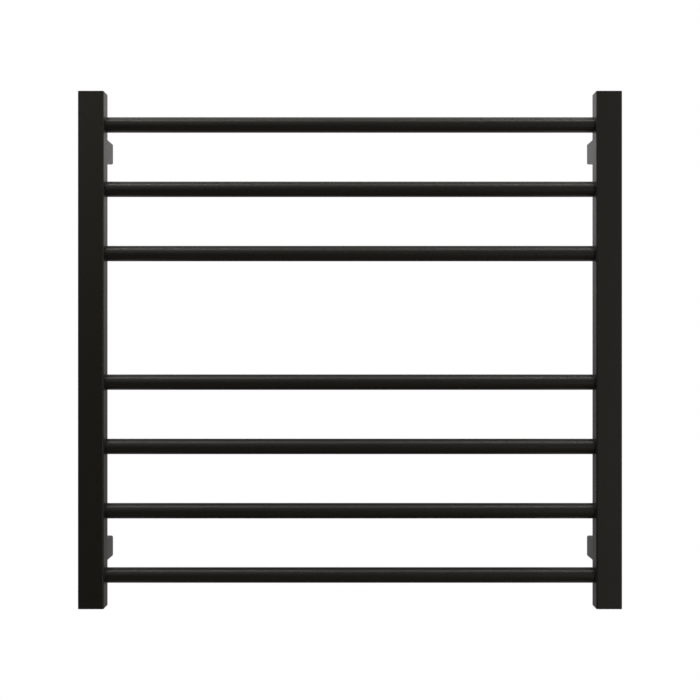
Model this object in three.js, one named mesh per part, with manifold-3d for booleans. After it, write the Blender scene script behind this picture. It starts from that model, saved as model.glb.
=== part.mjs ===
// An electric towel warmer for a wall: two square posts joined by seven round bars, carried on four
// bracket arms. Each arm slides over a socket that is screwed to the wall, and a set screw under the
// arm clamps it there. One heating cable is threaded through all the bars, and the supply comes in
// through the lower left arm.
//
// Millimetres. X runs across the rack, +Z is up, and -Y points into the room. The wall is the plane
// y = 0, and the origin is the point of it behind the middle of the rack.
import * as THREE from "three";
import { mergeVertices } from "three/addons/utils/BufferGeometryUtils.js";
import Module from "manifold-3d";

const wasm = await Module();
wasm.setup();

// ---------------------------------------------------------------- driving dimensions

const WIDTH = 630; // over the posts
const HEIGHT = 600;
const PROJECTION = 85; // from the wall to the posts' front faces
const FIT_GAP = 0.3; // between a piece and the hole that it passes through

const POST = { side: 30, wall: 1.5, cornerRadius: 2 };
const CAP = { rim: 1.5, plugLength: 8, plugCornerRadius: 1 };
const BAR = { diameter: 18, wall: 1.2, pitch: 75, insideWall: 2.5 };
const BAR_STEPS = [3.5, 2.5, 1.5, -0.5, -1.5, -2.5, -3.5]; // in pitches from mid height; 0.5 is left out
const ARM = { side: 25, wall: 2, cornerRadius: 2, height: 237.5 };
const SOCKET = { flange: 2, floor: 3, boss: 20.6, wall: 2, baseWall: 2.4, length: 20, cornerRadius: 0.8 };
const GROOVE = { width: 5.6, depth: 1 }; // for the set screw's tip, along the underside of the boss
const SET_SCREW = { diameter: 4, hole: 4.2, length: 3, hex: 2, hexDepth: 1.6, fromWall: 12, recess: 0.1 };
const WALL_SCREW = { diameter: 4, hole: 4.8, head: 7.5, headHeight: 2.6, length: 38, point: 8 };
const WALL_SCREW_RISE = 4.4; // above the arm's centre line
const CROSS_SLOT = { length: 4.4, width: 1, depth: 1.56 };
const WALL_PLUG = { diameter: 7, length: 30, depth: 3, ribs: 5, ribStep: 0.6, ribSlope: 0.5 };
const CABLE_HOLE = { diameter: 7.6, drop: 3.7 }; // beside the wall screw, in each socket's floor
const BUSH = { bore: 6.2, neck: 7.4, neckLength: 2.8, collar: 8.2, collarHeight: 1.2 };

const CABLE = { diameter: 4, bendRadius: 11.5, sides: 8, arcSteps: 5 };
const LEAD_DIAMETER = 5; // the unheated lead between the terminal block and the heating cable
const JOINT = { diameter: 7.5, length: 30, x: -255 }; // between the lead and the heating cable, in bar 7
const LIMITER = { width: 9, thickness: 6, length: 24, cornerRadius: 2.5 };
const END_SEAL = { diameter: 6.4, length: 20, belowBend: 5 };
const BLOCK = { width: 20, length: 16, height: 12, cornerRadius: 1.2, fromPost: 9 };
const POLE = { spacing: 9, bore: 3, aboveBase: 7.8 };
const BLOCK_SCREW = { diameter: 2.4, hole: 2.8, length: 3, inset: 4, recess: 0.2 };
const BLOCK_SCREW_SLOT = { width: 0.5, depth: 0.6 };
const EARTH_TAB = { width: 6.3, thickness: 0.8, foot: 6, riser: 3.2, blade: 9, fromPost: 4 };

const ROUND_STEPS = 20; // a full circle gets twice this many sides
const SMALL_ROUND_STEPS = 10;
const CORNER_STEPS = 2;

// ---------------------------------------------------------------- places worked out from them

const postX = (WIDTH - POST.side) / 2;
const postFrontY = -PROJECTION;
const postBackY = postFrontY + POST.side;
const postY = (postFrontY + postBackY) / 2;
const postInnerX = postX - POST.side / 2;
const barEndX = postInnerX + POST.wall + BAR.insideWall;
const barHeights = BAR_STEPS.map((step) => step * BAR.pitch);
const armInside = ARM.side - 2 * ARM.wall;
const armLength = -SOCKET.flange - postBackY;
const cableX = barEndX + CABLE.bendRadius; // the cable's vertical runs in the posts
const cableDrop = BAR.diameter / 2 - BAR.wall - LEAD_DIAMETER / 2 - FIT_GAP; // cables lie low in the bars
const blockBaseZ = -ARM.height - armInside / 2 + FIT_GAP;
const leadZ = blockBaseZ + POLE.aboveBase;
const blockFrontY = postBackY + BLOCK.fromPost;

// ---------------------------------------------------------------- materials

const finish = (color, roughness, metalness = 0) =>
  new THREE.MeshStandardMaterial({ color, roughness, metalness });

const blackCoat = finish(0x24231f, 0.42);
const blackCasting = finish(0x1c1c1b, 0.55);
const zincSteel = finish(0xb9bcc0, 0.35, 0.9);
const blackSteel = finish(0x2b2b2c, 0.4, 0.8);
const greyNylon = finish(0x8d9094, 0.6);
const redSilicone = finish(0x9c2f24, 0.6);
const blackSilicone = finish(0x181818, 0.65);
const shrinkSleeve = finish(0x101010, 0.5);
const whiteCeramic = finish(0xe8e4da, 0.45);
const brass = finish(0xc8a24a, 0.35, 0.9);
const blackRubber = finish(0x151515, 0.8);

// ---------------------------------------------------------------- solids: cutting and joining

// A closed geometry as a manifold solid.
function solid(geometry) {
  const bare = geometry.clone();
  bare.deleteAttribute("normal");
  bare.deleteAttribute("uv");
  const merged = mergeVertices(bare, 1e-4);
  return new wasm.Manifold(
    new wasm.Mesh({
      numProp: 3,
      vertProperties: merged.attributes.position.array,
      triVerts: new Uint32Array(merged.index.array),
    }),
  );
}

// A manifold solid as a geometry.
function geometryOf(made) {
  const mesh = made.getMesh();
  return new THREE.BufferGeometry()
    .setAttribute("position", new THREE.BufferAttribute(mesh.vertProperties, 3))
    .setIndex(new THREE.BufferAttribute(mesh.triVerts, 1));
}

const cut = (from, ...tools) =>
  geometryOf(tools.reduce((left, tool) => left.subtract(solid(tool)), solid(from)));
const join = (first, ...others) =>
  geometryOf(others.reduce((sum, other) => sum.add(solid(other)), solid(first)));

// ---------------------------------------------------------------- shapes

function roundedRectangle(width, height, radius, Kind = THREE.Shape) {
  const shape = new Kind();
  const x = width / 2 - radius;
  const y = height / 2 - radius;
  shape.absarc(x, y, radius, 0, Math.PI / 2);
  shape.absarc(-x, y, radius, Math.PI / 2, Math.PI);
  shape.absarc(-x, -y, radius, Math.PI, 1.5 * Math.PI);
  shape.absarc(x, -y, radius, 1.5 * Math.PI, 2 * Math.PI);
  shape.closePath();
  return shape;
}

function disc(diameter, Kind = THREE.Shape) {
  const shape = new Kind();
  shape.absarc(0, 0, diameter / 2, 0, 2 * Math.PI);
  return shape;
}

function regularPolygon(acrossFlats, sides) {
  const radius = acrossFlats / 2 / Math.cos(Math.PI / sides);
  const corners = Array.from({ length: sides }, (_, i) => {
    const angle = ((i + 0.5) * 2 * Math.PI) / sides;
    return new THREE.Vector2(radius * Math.cos(angle), radius * Math.sin(angle));
  });
  return new THREE.Shape(corners);
}

function withHole(shape, hole) {
  shape.holes.push(hole);
  return shape;
}

const extrude = (shape, depth, curveSegments = CORNER_STEPS) =>
  new THREE.ExtrudeGeometry(shape, { depth, curveSegments, bevelEnabled: false });

// Turn an extrusion so that it runs along +X, towards the room (-Y), or towards the wall (+Y).
const axes = (x, y, z) =>
  new THREE.Matrix4().makeBasis(new THREE.Vector3(...x), new THREE.Vector3(...y), new THREE.Vector3(...z));
const ALONG_X = axes([0, 1, 0], [0, 0, 1], [1, 0, 0]);
const INTO_ROOM = axes([1, 0, 0], [0, 0, 1], [0, -1, 0]);
const INTO_WALL = axes([-1, 0, 0], [0, 0, 1], [0, 1, 0]);
const DOWN = axes([1, 0, 0], [0, -1, 0], [0, 0, -1]);

const turned = (geometry, basis) => geometry.applyMatrix4(basis);
const box = (width, depth, height, x = 0, y = 0, z = 0) =>
  new THREE.BoxGeometry(width, depth, height).translate(x, y, z);
const rod = (diameter, length, basis, steps = SMALL_ROUND_STEPS) =>
  turned(extrude(disc(diameter), length, steps), basis);

// A turned piece: the profile is [radius, distance along the axis] pairs, going forwards up the outside,
// and the axis becomes +Z of the basis.
function spun(profile, basis, sides = 2 * SMALL_ROUND_STEPS) {
  const points = profile.map(([radius, along]) => new THREE.Vector2(radius, along));
  const upright = new THREE.LatheGeometry(points, sides).applyMatrix4(axes([1, 0, 0], [0, 0, 1], [0, -1, 0]));
  return turned(upright, new THREE.Matrix4().copy(basis));
}

// ---------------------------------------------------------------- cables

// A curve with one waypoint for each extrusion step, however far apart the waypoints are.
class Route extends THREE.Curve {
  constructor(waypoints) {
    super();
    this.waypoints = waypoints;
  }

  get steps() {
    return this.waypoints.length - 1;
  }

  getPoint(t) {
    return this.waypoints[Math.round(t * this.steps)].clone();
  }

  getPointAt(u) {
    return this.getPoint(u);
  }

  getTangentAt(u) {
    const i = Math.round(u * this.steps);
    const before = this.waypoints[Math.max(0, i - 1)];
    const here = this.waypoints[i];
    const after = this.waypoints[Math.min(this.steps, i + 1)];
    const arriving = here.clone().sub(before).normalize();
    const leaving = after.clone().sub(here).normalize();
    return arriving.add(leaving).normalize();
  }
}

// A route along straight legs whose square corners are rounded to the cable's bend radius.
function routeThrough(corners) {
  const points = corners.map((corner) => new THREE.Vector3(...corner));
  const waypoints = [points[0]];
  for (let i = 1; i < points.length - 1; i += 1) {
    const back = points[i - 1].clone().sub(points[i]).setLength(CABLE.bendRadius);
    const on = points[i + 1].clone().sub(points[i]).setLength(CABLE.bendRadius);
    const centre = points[i].clone().add(back).add(on);
    for (let step = 0; step <= CABLE.arcSteps; step += 1) {
      const angle = ((Math.PI / 2) * step) / CABLE.arcSteps;
      waypoints.push(
        centre.clone().addScaledVector(on, -Math.cos(angle)).addScaledVector(back, -Math.sin(angle)),
      );
    }
  }
  waypoints.push(points[points.length - 1]);
  return new Route(waypoints);
}

function cable(diameter, corners) {
  const extrudePath = routeThrough(corners);
  const section = disc(diameter);
  return new THREE.ExtrudeGeometry(section, {
    extrudePath,
    steps: extrudePath.steps,
    curveSegments: CABLE.sides / 2,
    bevelEnabled: false,
  });
}

// ---------------------------------------------------------------- the rack's own pieces

const rack = new THREE.Group();

function add(name, geometry, material, x = 0, y = 0, z = 0) {
  const mesh = new THREE.Mesh(geometry, material);
  mesh.name = name;
  mesh.position.set(x, y, z);
  rack.add(mesh);
}

function squareTube(side, wall, cornerRadius, length) {
  const outline = roundedRectangle(side, side, cornerRadius);
  const innerRadius = Math.max(cornerRadius - wall, 0.5);
  const hollow = roundedRectangle(side - 2 * wall, side - 2 * wall, innerRadius, THREE.Path);
  return extrude(withHole(outline, hollow), length);
}

// A post has a hole for each bar in its inner wall. The left one also lets the lead in from behind.
function post(direction) {
  const length = HEIGHT - 2 * CAP.rim;
  const tube = squareTube(POST.side, POST.wall, POST.cornerRadius, length).translate(0, 0, -length / 2);
  const holeStart = direction < 0 ? POST.side / 4 : -0.75 * POST.side;
  const barHoles = barHeights.map((z) =>
    rod(BAR.diameter + 2 * FIT_GAP, POST.side / 2, ALONG_X, ROUND_STEPS).translate(holeStart, 0, z),
  );
  const leadHole = rod(LEAD_DIAMETER + 2, POST.side / 2, INTO_WALL).translate(0, POST.side / 4, leadZ);
  return cut(tube, ...barHoles, ...(direction < 0 ? [leadHole] : []));
}

function endCap() {
  const rim = extrude(roundedRectangle(POST.side, POST.side, POST.cornerRadius), CAP.rim);
  const plugSide = POST.side - 2 * POST.wall - 2 * FIT_GAP;
  const section = roundedRectangle(plugSide, plugSide, CAP.plugCornerRadius);
  const plug = extrude(section, CAP.plugLength + CAP.rim / 2);
  return join(rim, plug.translate(0, 0, -CAP.plugLength));
}

function bar() {
  const ring = withHole(disc(BAR.diameter), disc(BAR.diameter - 2 * BAR.wall, THREE.Path));
  return turned(extrude(ring, 2 * barEndX, ROUND_STEPS), ALONG_X).translate(-barEndX, 0, 0);
}

// An arm runs from its post to the socket's flange, with a tapped hole for the set screw below.
function arm() {
  const tube = turned(squareTube(ARM.side, ARM.wall, ARM.cornerRadius, armLength), INTO_ROOM);
  const tappedHole = rod(SET_SCREW.hole, ARM.side / 2, DOWN);
  return cut(tube.translate(0, -SOCKET.flange, 0), tappedHole.translate(0, -SET_SCREW.fromWall, 0));
}

// ---------------------------------------------------------------- wall fixings

// A cup with a flange against the wall. Its floor has one hole for the screw and one for a cable.
function wallSocket() {
  const { flange, floor, boss, wall, baseWall, length, cornerRadius } = SOCKET;
  const square = (width, height, radius, depth) =>
    turned(extrude(roundedRectangle(width, height, radius), depth), INTO_ROOM);
  const plate = square(ARM.side, ARM.side, ARM.cornerRadius, flange);
  const cup = square(boss, boss, cornerRadius, length).translate(0, -flange / 2, 0);
  const hollow = square(boss - 2 * wall, boss - wall - baseWall, cornerRadius, length);
  const groove = box(GROOVE.width, length, 2 * GROOVE.depth);
  const screwHole = rod(WALL_SCREW.hole, 3 * floor, INTO_ROOM);
  const cableHole = rod(CABLE_HOLE.diameter, 3 * floor, INTO_ROOM);
  return cut(
    join(plate, cup),
    hollow.translate(0, -floor, (baseWall - wall) / 2),
    groove.translate(0, -flange - floor - length / 2, -boss / 2),
    screwHole.translate(0, floor, WALL_SCREW_RISE),
    cableHole.translate(0, floor, -CABLE_HOLE.drop),
  );
}

function setScrew() {
  const body = rod(SET_SCREW.diameter, SET_SCREW.length, DOWN);
  const key = turned(extrude(regularPolygon(SET_SCREW.hex, 6), SET_SCREW.length), DOWN);
  return cut(body, key.translate(0, 0, SET_SCREW.hexDepth - SET_SCREW.length));
}

// A round-headed wood screw, with its head on the socket's floor and its point in the wall.
function wallScrew() {
  const { diameter, head, headHeight, length, point } = WALL_SCREW;
  const dome = [0, 1, 2, 3].map((step) => {
    const angle = (step * Math.PI) / 6;
    return [(head / 2) * Math.sin(angle), -headHeight * Math.cos(angle)];
  });
  const body = spun([...dome, [diameter / 2, 0], [diameter / 2, length - point], [0, length]], INTO_WALL);
  const slots = [
    box(CROSS_SLOT.length, 2 * CROSS_SLOT.depth, CROSS_SLOT.width, 0, -headHeight, 0),
    box(CROSS_SLOT.width, 2 * CROSS_SLOT.depth, CROSS_SLOT.length, 0, -headHeight, 0),
  ];
  return cut(body, ...slots);
}

// A ribbed sleeve that grips the wall when the screw spreads it.
function wallPlug() {
  const { diameter, length, ribs, ribStep, ribSlope } = WALL_PLUG;
  const bore = WALL_SCREW.diameter / 2 + FIT_GAP;
  const ribLength = length / (ribs + 1);
  const profile = [
    [bore, 0],
    [diameter / 2, 0],
    [diameter / 2, ribLength],
  ];
  for (let rib = 1; rib <= ribs; rib += 1) {
    profile.push([diameter / 2 - ribStep, rib * ribLength + ribSlope]);
    profile.push([diameter / 2, (rib + 1) * ribLength]);
  }
  profile.push([bore, length], [bore, 0]);
  return spun(profile, INTO_WALL);
}

// A top-hat bush that guards the supply cable where it comes through the socket's floor.
function cableBush() {
  const { bore, neck, neckLength, collar, collarHeight } = BUSH;
  const profile = [
    [bore / 2, -collarHeight],
    [collar / 2, -collarHeight],
    [collar / 2, 0],
    [neck / 2, 0],
    [neck / 2, neckLength],
    [bore / 2, neckLength],
    [bore / 2, -collarHeight],
  ];
  return spun(profile, INTO_WALL);
}

// ---------------------------------------------------------------- electrical pieces

// A ceramic block with two poles. Each pole is a bore along Y with a screw down to it at both ends.
function terminalBlock() {
  const { width, length, height, cornerRadius } = BLOCK;
  const body = turned(extrude(roundedRectangle(width, height, cornerRadius), length), INTO_ROOM);
  const tools = [-1, 1].flatMap((pole) => {
    const x = (pole * POLE.spacing) / 2;
    const bore = rod(POLE.bore, 2 * length, INTO_ROOM).translate(x, length / 2, POLE.aboveBase - height / 2);
    const screwHoles = [BLOCK_SCREW.inset, length - BLOCK_SCREW.inset].map((inset) =>
      rod(BLOCK_SCREW.hole, height - POLE.aboveBase, DOWN).translate(x, -inset, height / 2 + FIT_GAP),
    );
    return [bore, ...screwHoles];
  });
  return cut(body, ...tools);
}

function terminalScrew() {
  const body = rod(BLOCK_SCREW.diameter, BLOCK_SCREW.length, DOWN);
  return cut(body, box(2 * BLOCK_SCREW.diameter, BLOCK_SCREW_SLOT.width, 2 * BLOCK_SCREW_SLOT.depth));
}

// A push-on tab for the earth wire: a foot on the arm's top wall, a riser, and a blade.
function earthTab() {
  const { width, thickness, foot, riser, blade } = EARTH_TAB;
  const side = new THREE.Shape([
    new THREE.Vector2(0, 0),
    new THREE.Vector2(0, -thickness),
    new THREE.Vector2(foot - thickness, -thickness),
    new THREE.Vector2(foot - thickness, -riser - thickness),
    new THREE.Vector2(foot + blade, -riser - thickness),
    new THREE.Vector2(foot + blade, -riser),
    new THREE.Vector2(foot, -riser),
    new THREE.Vector2(foot, 0),
  ]);
  return turned(extrude(side, width), ALONG_X).translate(-width / 2, 0, 0);
}

function limiter() {
  const { width, thickness, length, cornerRadius } = LIMITER;
  return extrude(roundedRectangle(width, thickness, cornerRadius), length).translate(0, 0, -length / 2);
}

// ---------------------------------------------------------------- the assembly

const SIDES = [["left", -1], ["right", 1]];
const LEVELS = [["upper", 1], ["lower", -1]];

for (const [side, direction] of SIDES) {
  const x = direction * postX;
  const tubeEnd = HEIGHT / 2 - CAP.rim;
  add(`${side}_post`, post(direction), blackCoat, x, postY, 0);
  add(`${side}_top_cap`, endCap(), blackCoat, x, postY, tubeEnd);
  add(`${side}_bottom_cap`, turned(endCap(), DOWN), blackCoat, x, postY, -tubeEnd);
}

barHeights.forEach((z, i) => add(`bar_${i + 1}`, bar(), blackCoat, 0, postY, z));

for (const [level, up] of LEVELS) {
  for (const [side, direction] of SIDES) {
    const corner = `${level}_${side}`;
    const x = direction * postX;
    const z = up * ARM.height;
    add(`${corner}_arm`, arm(), blackCoat, x, 0, z);
    add(`${corner}_wall_socket`, wallSocket(), blackCasting, x, 0, z);
    const screwHead = z - ARM.side / 2 + SET_SCREW.recess + SET_SCREW.length;
    add(`${corner}_set_screw`, setScrew(), blackSteel, x, -SET_SCREW.fromWall, screwHead);
    add(`${corner}_wall_screw`, wallScrew(), zincSteel, x, -SOCKET.floor, z + WALL_SCREW_RISE);
    add(`${corner}_wall_plug`, wallPlug(), greyNylon, x, WALL_PLUG.depth, z + WALL_SCREW_RISE);
  }
}

const bushZ = -ARM.height - CABLE_HOLE.drop;
const blockBackY = blockFrontY + BLOCK.length;
add("cable_bush", cableBush(), blackRubber, -postX, -SOCKET.floor, bushZ);
add("terminal_block", terminalBlock(), whiteCeramic, -postX, blockBackY, blockBaseZ + BLOCK.height / 2);
let screwNumber = 0;
for (const pole of [-1, 1]) {
  for (const inset of [BLOCK_SCREW.inset, BLOCK.length - BLOCK_SCREW.inset]) {
    screwNumber += 1;
    const x = -postX + (pole * POLE.spacing) / 2;
    const top = blockBaseZ + BLOCK.height - BLOCK_SCREW.recess;
    add(`terminal_screw_${screwNumber}`, terminalScrew(), brass, x, blockBackY - inset, top);
  }
}
add("earth_tab", earthTab(), brass, -postX, postBackY + EARTH_TAB.fromPost, -ARM.height + armInside / 2);

// The lead runs from the terminal block into the post, down, and into the lowest bar.
const cableHeights = barHeights.map((z) => z - cableDrop);
const [h1, h2, h3, h4, h5, h6, h7] = cableHeights;
const jointEnd = JOINT.length / 2 + FIT_GAP;
const jointZ = h7 + (JOINT.diameter - CABLE.diameter) / 2;
add(
  "cold_lead",
  cable(LEAD_DIAMETER, [
    [-postX, blockFrontY - FIT_GAP, leadZ],
    [-postX, postY, leadZ],
    [-postX, postY, h7],
    [JOINT.x - jointEnd, postY, h7],
  ]),
  blackSilicone,
);
const joint = rod(JOINT.diameter, JOINT.length, ALONG_X);
add("cold_joint", joint, shrinkSleeve, JOINT.x - JOINT.length / 2, postY, jointZ);

// The cable climbs from bar to bar, with the heat limiter in the tall gap on the left.
const limiterZ = (barHeights[2] + barHeights[3]) / 2;
const limiterEnd = LIMITER.length / 2 + FIT_GAP;
add(
  "heating_cable_lower",
  cable(CABLE.diameter, [
    [JOINT.x + jointEnd, postY, h7],
    [cableX, postY, h7],
    [cableX, postY, h6],
    [-cableX, postY, h6],
    [-cableX, postY, h5],
    [cableX, postY, h5],
    [cableX, postY, h4],
    [-cableX, postY, h4],
    [-cableX, postY, limiterZ - limiterEnd],
  ]),
  redSilicone,
);
add("heat_limiter", limiter(), shrinkSleeve, -cableX, postY, limiterZ);
const sealTop = h1 - CABLE.bendRadius - END_SEAL.belowBend;
add(
  "heating_cable_upper",
  cable(CABLE.diameter, [
    [-cableX, postY, limiterZ + limiterEnd],
    [-cableX, postY, h3],
    [cableX, postY, h3],
    [cableX, postY, h2],
    [-cableX, postY, h2],
    [-cableX, postY, h1],
    [cableX, postY, h1],
    [cableX, postY, sealTop],
  ]),
  redSilicone,
);
const endSeal = rod(END_SEAL.diameter, END_SEAL.length, DOWN);
add("cable_end_seal", endSeal, shrinkSleeve, cableX, postY, sealTop - FIT_GAP);

export default rack;
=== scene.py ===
import math

import bmesh
import bpy
from bpy.props import FloatProperty, FloatVectorProperty, IntProperty, PointerProperty
from bpy.types import Operator, Panel, PropertyGroup
from mathutils import Matrix, Vector


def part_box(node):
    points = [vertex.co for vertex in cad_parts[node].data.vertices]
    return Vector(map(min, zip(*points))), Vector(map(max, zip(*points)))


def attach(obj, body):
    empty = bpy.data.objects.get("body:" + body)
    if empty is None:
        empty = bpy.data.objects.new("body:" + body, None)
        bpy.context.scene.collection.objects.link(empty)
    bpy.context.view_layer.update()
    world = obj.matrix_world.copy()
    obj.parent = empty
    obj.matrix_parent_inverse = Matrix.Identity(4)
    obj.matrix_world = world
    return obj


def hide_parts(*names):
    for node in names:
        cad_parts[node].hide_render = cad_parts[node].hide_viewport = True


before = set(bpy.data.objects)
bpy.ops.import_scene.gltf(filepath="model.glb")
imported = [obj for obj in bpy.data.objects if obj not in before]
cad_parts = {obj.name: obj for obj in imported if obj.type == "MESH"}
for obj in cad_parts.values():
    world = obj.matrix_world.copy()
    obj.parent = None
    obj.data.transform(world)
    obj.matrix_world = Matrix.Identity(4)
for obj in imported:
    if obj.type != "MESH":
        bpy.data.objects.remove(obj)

bl_info = {
    "name": "Towel Warmer Rack",
    "version": (1, 0, 0),
    "blender": (4, 5, 0),
    "location": "View3D > Sidebar > Towel Warmer",
    "description": "Makes the finished pieces of a wall-mounted electric towel warmer",
    "category": "Object",
}

# A ladder-shaped electric towel warmer in satin black powder coat. +X runs along the bars, -Y points
# into the room, +Z is up, and the wall is the plane y = 0. Everything is in metres.

MM = 0.001
SIDES = ("left", "right")
CORNERS = [f"{level}_{side}" for level in ("upper", "lower") for side in SIDES]
BARS = [f"bar_{number}" for number in range(1, 8)]
FIT_GAP = 0.3 * MM  # between pieces that touch in the frame


def middle(node):
    low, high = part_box(node)
    return (low + high) / 2


def extent(node):
    low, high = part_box(node)
    return high - low


# ------------------------------------------------------------------ settings


class TowelRackSizes(PropertyGroup):
    """Sizes that the frame leaves open"""

    tube_corner: FloatProperty(
        name="Tube corner", description="Outer corner radius of the square tubes",
        default=2 * MM, min=0.5 * MM, max=5 * MM, unit="LENGTH")
    edge_break: FloatProperty(
        name="Edge break", description="Chamfer on cut edges, under the coat",
        default=0.3 * MM, min=0.05 * MM, max=1 * MM, unit="LENGTH")
    cap_line: FloatProperty(
        name="Cap line", description="Half the width of the fine line between a post and its cap",
        default=0.22 * MM, min=0.0, max=1 * MM, unit="LENGTH")
    weld: FloatProperty(
        name="Weld", description="Radius of the weld bead round each joint",
        default=0.55 * MM, min=0.2 * MM, max=3 * MM, unit="LENGTH")
    weld_ripple: FloatProperty(
        name="Weld ripple", description="How much a weld bead swells and narrows",
        default=0.4, min=0.0, max=1.0, subtype="FACTOR")
    set_screw_pitch: FloatProperty(
        name="Set screw pitch", description="Thread pitch of the set screws",
        default=0.7 * MM, min=0.3 * MM, max=1.5 * MM, unit="LENGTH")
    wall_screw_pitch: FloatProperty(
        name="Wall screw pitch", description="Thread pitch of the wall screws",
        default=1.9 * MM, min=0.8 * MM, max=3 * MM, unit="LENGTH")
    lead: FloatProperty(
        name="Lead", description="Diameter of the lead", default=5 * MM, min=3 * MM, max=8 * MM,
        unit="LENGTH")
    bend_radius: FloatProperty(
        name="Cable bend", description="Bend radius of the cables inside the posts",
        default=11.5 * MM, min=6 * MM, max=14 * MM, unit="LENGTH")
    bar_sides: IntProperty(
        name="Bar sides", description="Sides of a bar's round outline", default=96, min=24, max=256)


class TowelRackColours(PropertyGroup):
    """Colours and finishes of the main materials"""

    coat: FloatVectorProperty(
        name="Coat", description="Colour of the powder coat", subtype="COLOR", size=3,
        default=(0.0200, 0.0172, 0.0130), min=0.0, max=1.0)
    coat_roughness: FloatProperty(
        name="Coat roughness", description="0 is gloss and 1 is dead matt", subtype="FACTOR",
        default=0.43, min=0.0, max=1.0)
    casting: FloatVectorProperty(
        name="Casting", description="Colour of the wall sockets", subtype="COLOR", size=3,
        default=(0.015, 0.0145, 0.0135), min=0.0, max=1.0)
    heating_cable: FloatVectorProperty(
        name="Heating cable", description="Colour of the silicone sheath", subtype="COLOR", size=3,
        default=(0.33, 0.045, 0.03), min=0.0, max=1.0)
    plug: FloatVectorProperty(
        name="Wall plug", description="Colour of the nylon wall plugs", subtype="COLOR", size=3,
        default=(0.27, 0.29, 0.31), min=0.0, max=1.0)


class TowelRackStudio(PropertyGroup):
    """Camera, floor and lights"""

    camera_distance: FloatProperty(
        name="Camera distance", description="From the camera to the posts' front faces",
        default=1.735, min=0.5, max=10, unit="LENGTH")
    view_width: FloatProperty(
        name="View width", description="What the camera takes in at the posts' front faces",
        default=0.8097, min=0.1, max=10, unit="LENGTH")
    floor_drop: FloatProperty(
        name="Floor drop", description="From the middle of the rack down to the floor",
        default=1.5, min=0.4, max=3, unit="LENGTH")
    top_light: FloatProperty(
        name="Top lights", description="Power of each of the two soft lights over the rack",
        default=9.0, min=0.0, max=1000, unit="POWER")
    front_light: FloatProperty(
        name="Front lights", description="Power of the front lights together",
        default=7.0, min=0.0, max=1000, unit="POWER")
    side_light: FloatProperty(
        name="Side lights", description="Power of the side lights together",
        default=3.8, min=0.0, max=1000, unit="POWER")
    back_light: FloatProperty(
        name="Back light", description="Power of the stronger light behind the wall's place",
        default=6.0, min=0.0, max=1000, unit="POWER")
    room_light: FloatProperty(
        name="Room", description="Brightness of the room around the lights",
        default=0.045, min=0.0, max=10)
    card_light: FloatProperty(
        name="Wall card", description="Brightness of the reflector card behind the rack",
        default=1.0, min=0.0, max=10)


def sizes():
    return bpy.context.scene.towel_rack_sizes


def colours():
    return bpy.context.scene.towel_rack_colours


def studio():
    return bpy.context.scene.towel_rack_studio


# ------------------------------------------------------------------ nodes written as sums


class Value:
    """A node's output that can stand in a sum. Each sum adds a Math node."""

    def __init__(self, work, socket):
        self.work = work
        self.socket = socket

    def math(self, operation, *operands):
        return self.work.add("ShaderNodeMath", {"operation": operation}, dict(enumerate(operands)))[0]

    def __add__(self, other):
        return self.math("ADD", self, other)

    def __sub__(self, other):
        return self.math("SUBTRACT", self, other)

    def __rsub__(self, other):
        return self.math("SUBTRACT", other, self)

    def __mul__(self, other):
        return self.math("MULTIPLY", self, other)

    def __truediv__(self, other):
        return self.math("DIVIDE", self, other)

    def __rtruediv__(self, other):
        return self.math("DIVIDE", other, self)

    def at_most(self, other):
        return self.math("MINIMUM", self, other)

    def at_least(self, other):
        return self.math("MAXIMUM", self, other)

    def fraction(self):
        return self.math("FRACT", self)

    __radd__ = __add__
    __rmul__ = __mul__


class Made:
    """A node that has been added. Its outputs are picked by name or number."""

    def __init__(self, work, node):
        self.work = work
        self.node = node

    def __getitem__(self, key):
        return Value(self.work, self.node.outputs[key])


class Work:
    """Adds nodes to one tree."""

    def __init__(self, tree):
        self.tree = tree

    def add(self, kind, settings=None, sockets=None):
        """Adds a node: its settings are set first, then its sockets get values or links."""
        node = self.tree.nodes.new(kind)
        for key, setting in (settings or {}).items():
            if key == "stops":
                self.set_stops(node.color_ramp, setting)
            else:
                setattr(node, key, setting)
        for key, value in (sockets or {}).items():
            if isinstance(value, Value):
                self.tree.links.new(value.socket, node.inputs[key])
            else:
                node.inputs[key].default_value = value
        return Made(self, node)

    @staticmethod
    def set_stops(ramp, stops):
        while len(ramp.elements) < len(stops):
            ramp.elements.new(0.5)
        for element, (position, level) in zip(ramp.elements, stops):
            element.position = position
            element.color = (level, level, level, 1)

    def ramp(self, value, *stops):
        return self.add("ShaderNodeValToRGB", {"stops": stops}, {"Fac": value})["Color"]

    def split(self, vector):
        made = self.add("ShaderNodeSeparateXYZ", sockets={0: vector})
        return made["X"], made["Y"], made["Z"]

    def vector(self, x, y, z):
        return self.add("ShaderNodeCombineXYZ", sockets={"X": x, "Y": y, "Z": z})["Vector"]


# ------------------------------------------------------------------ materials


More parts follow.
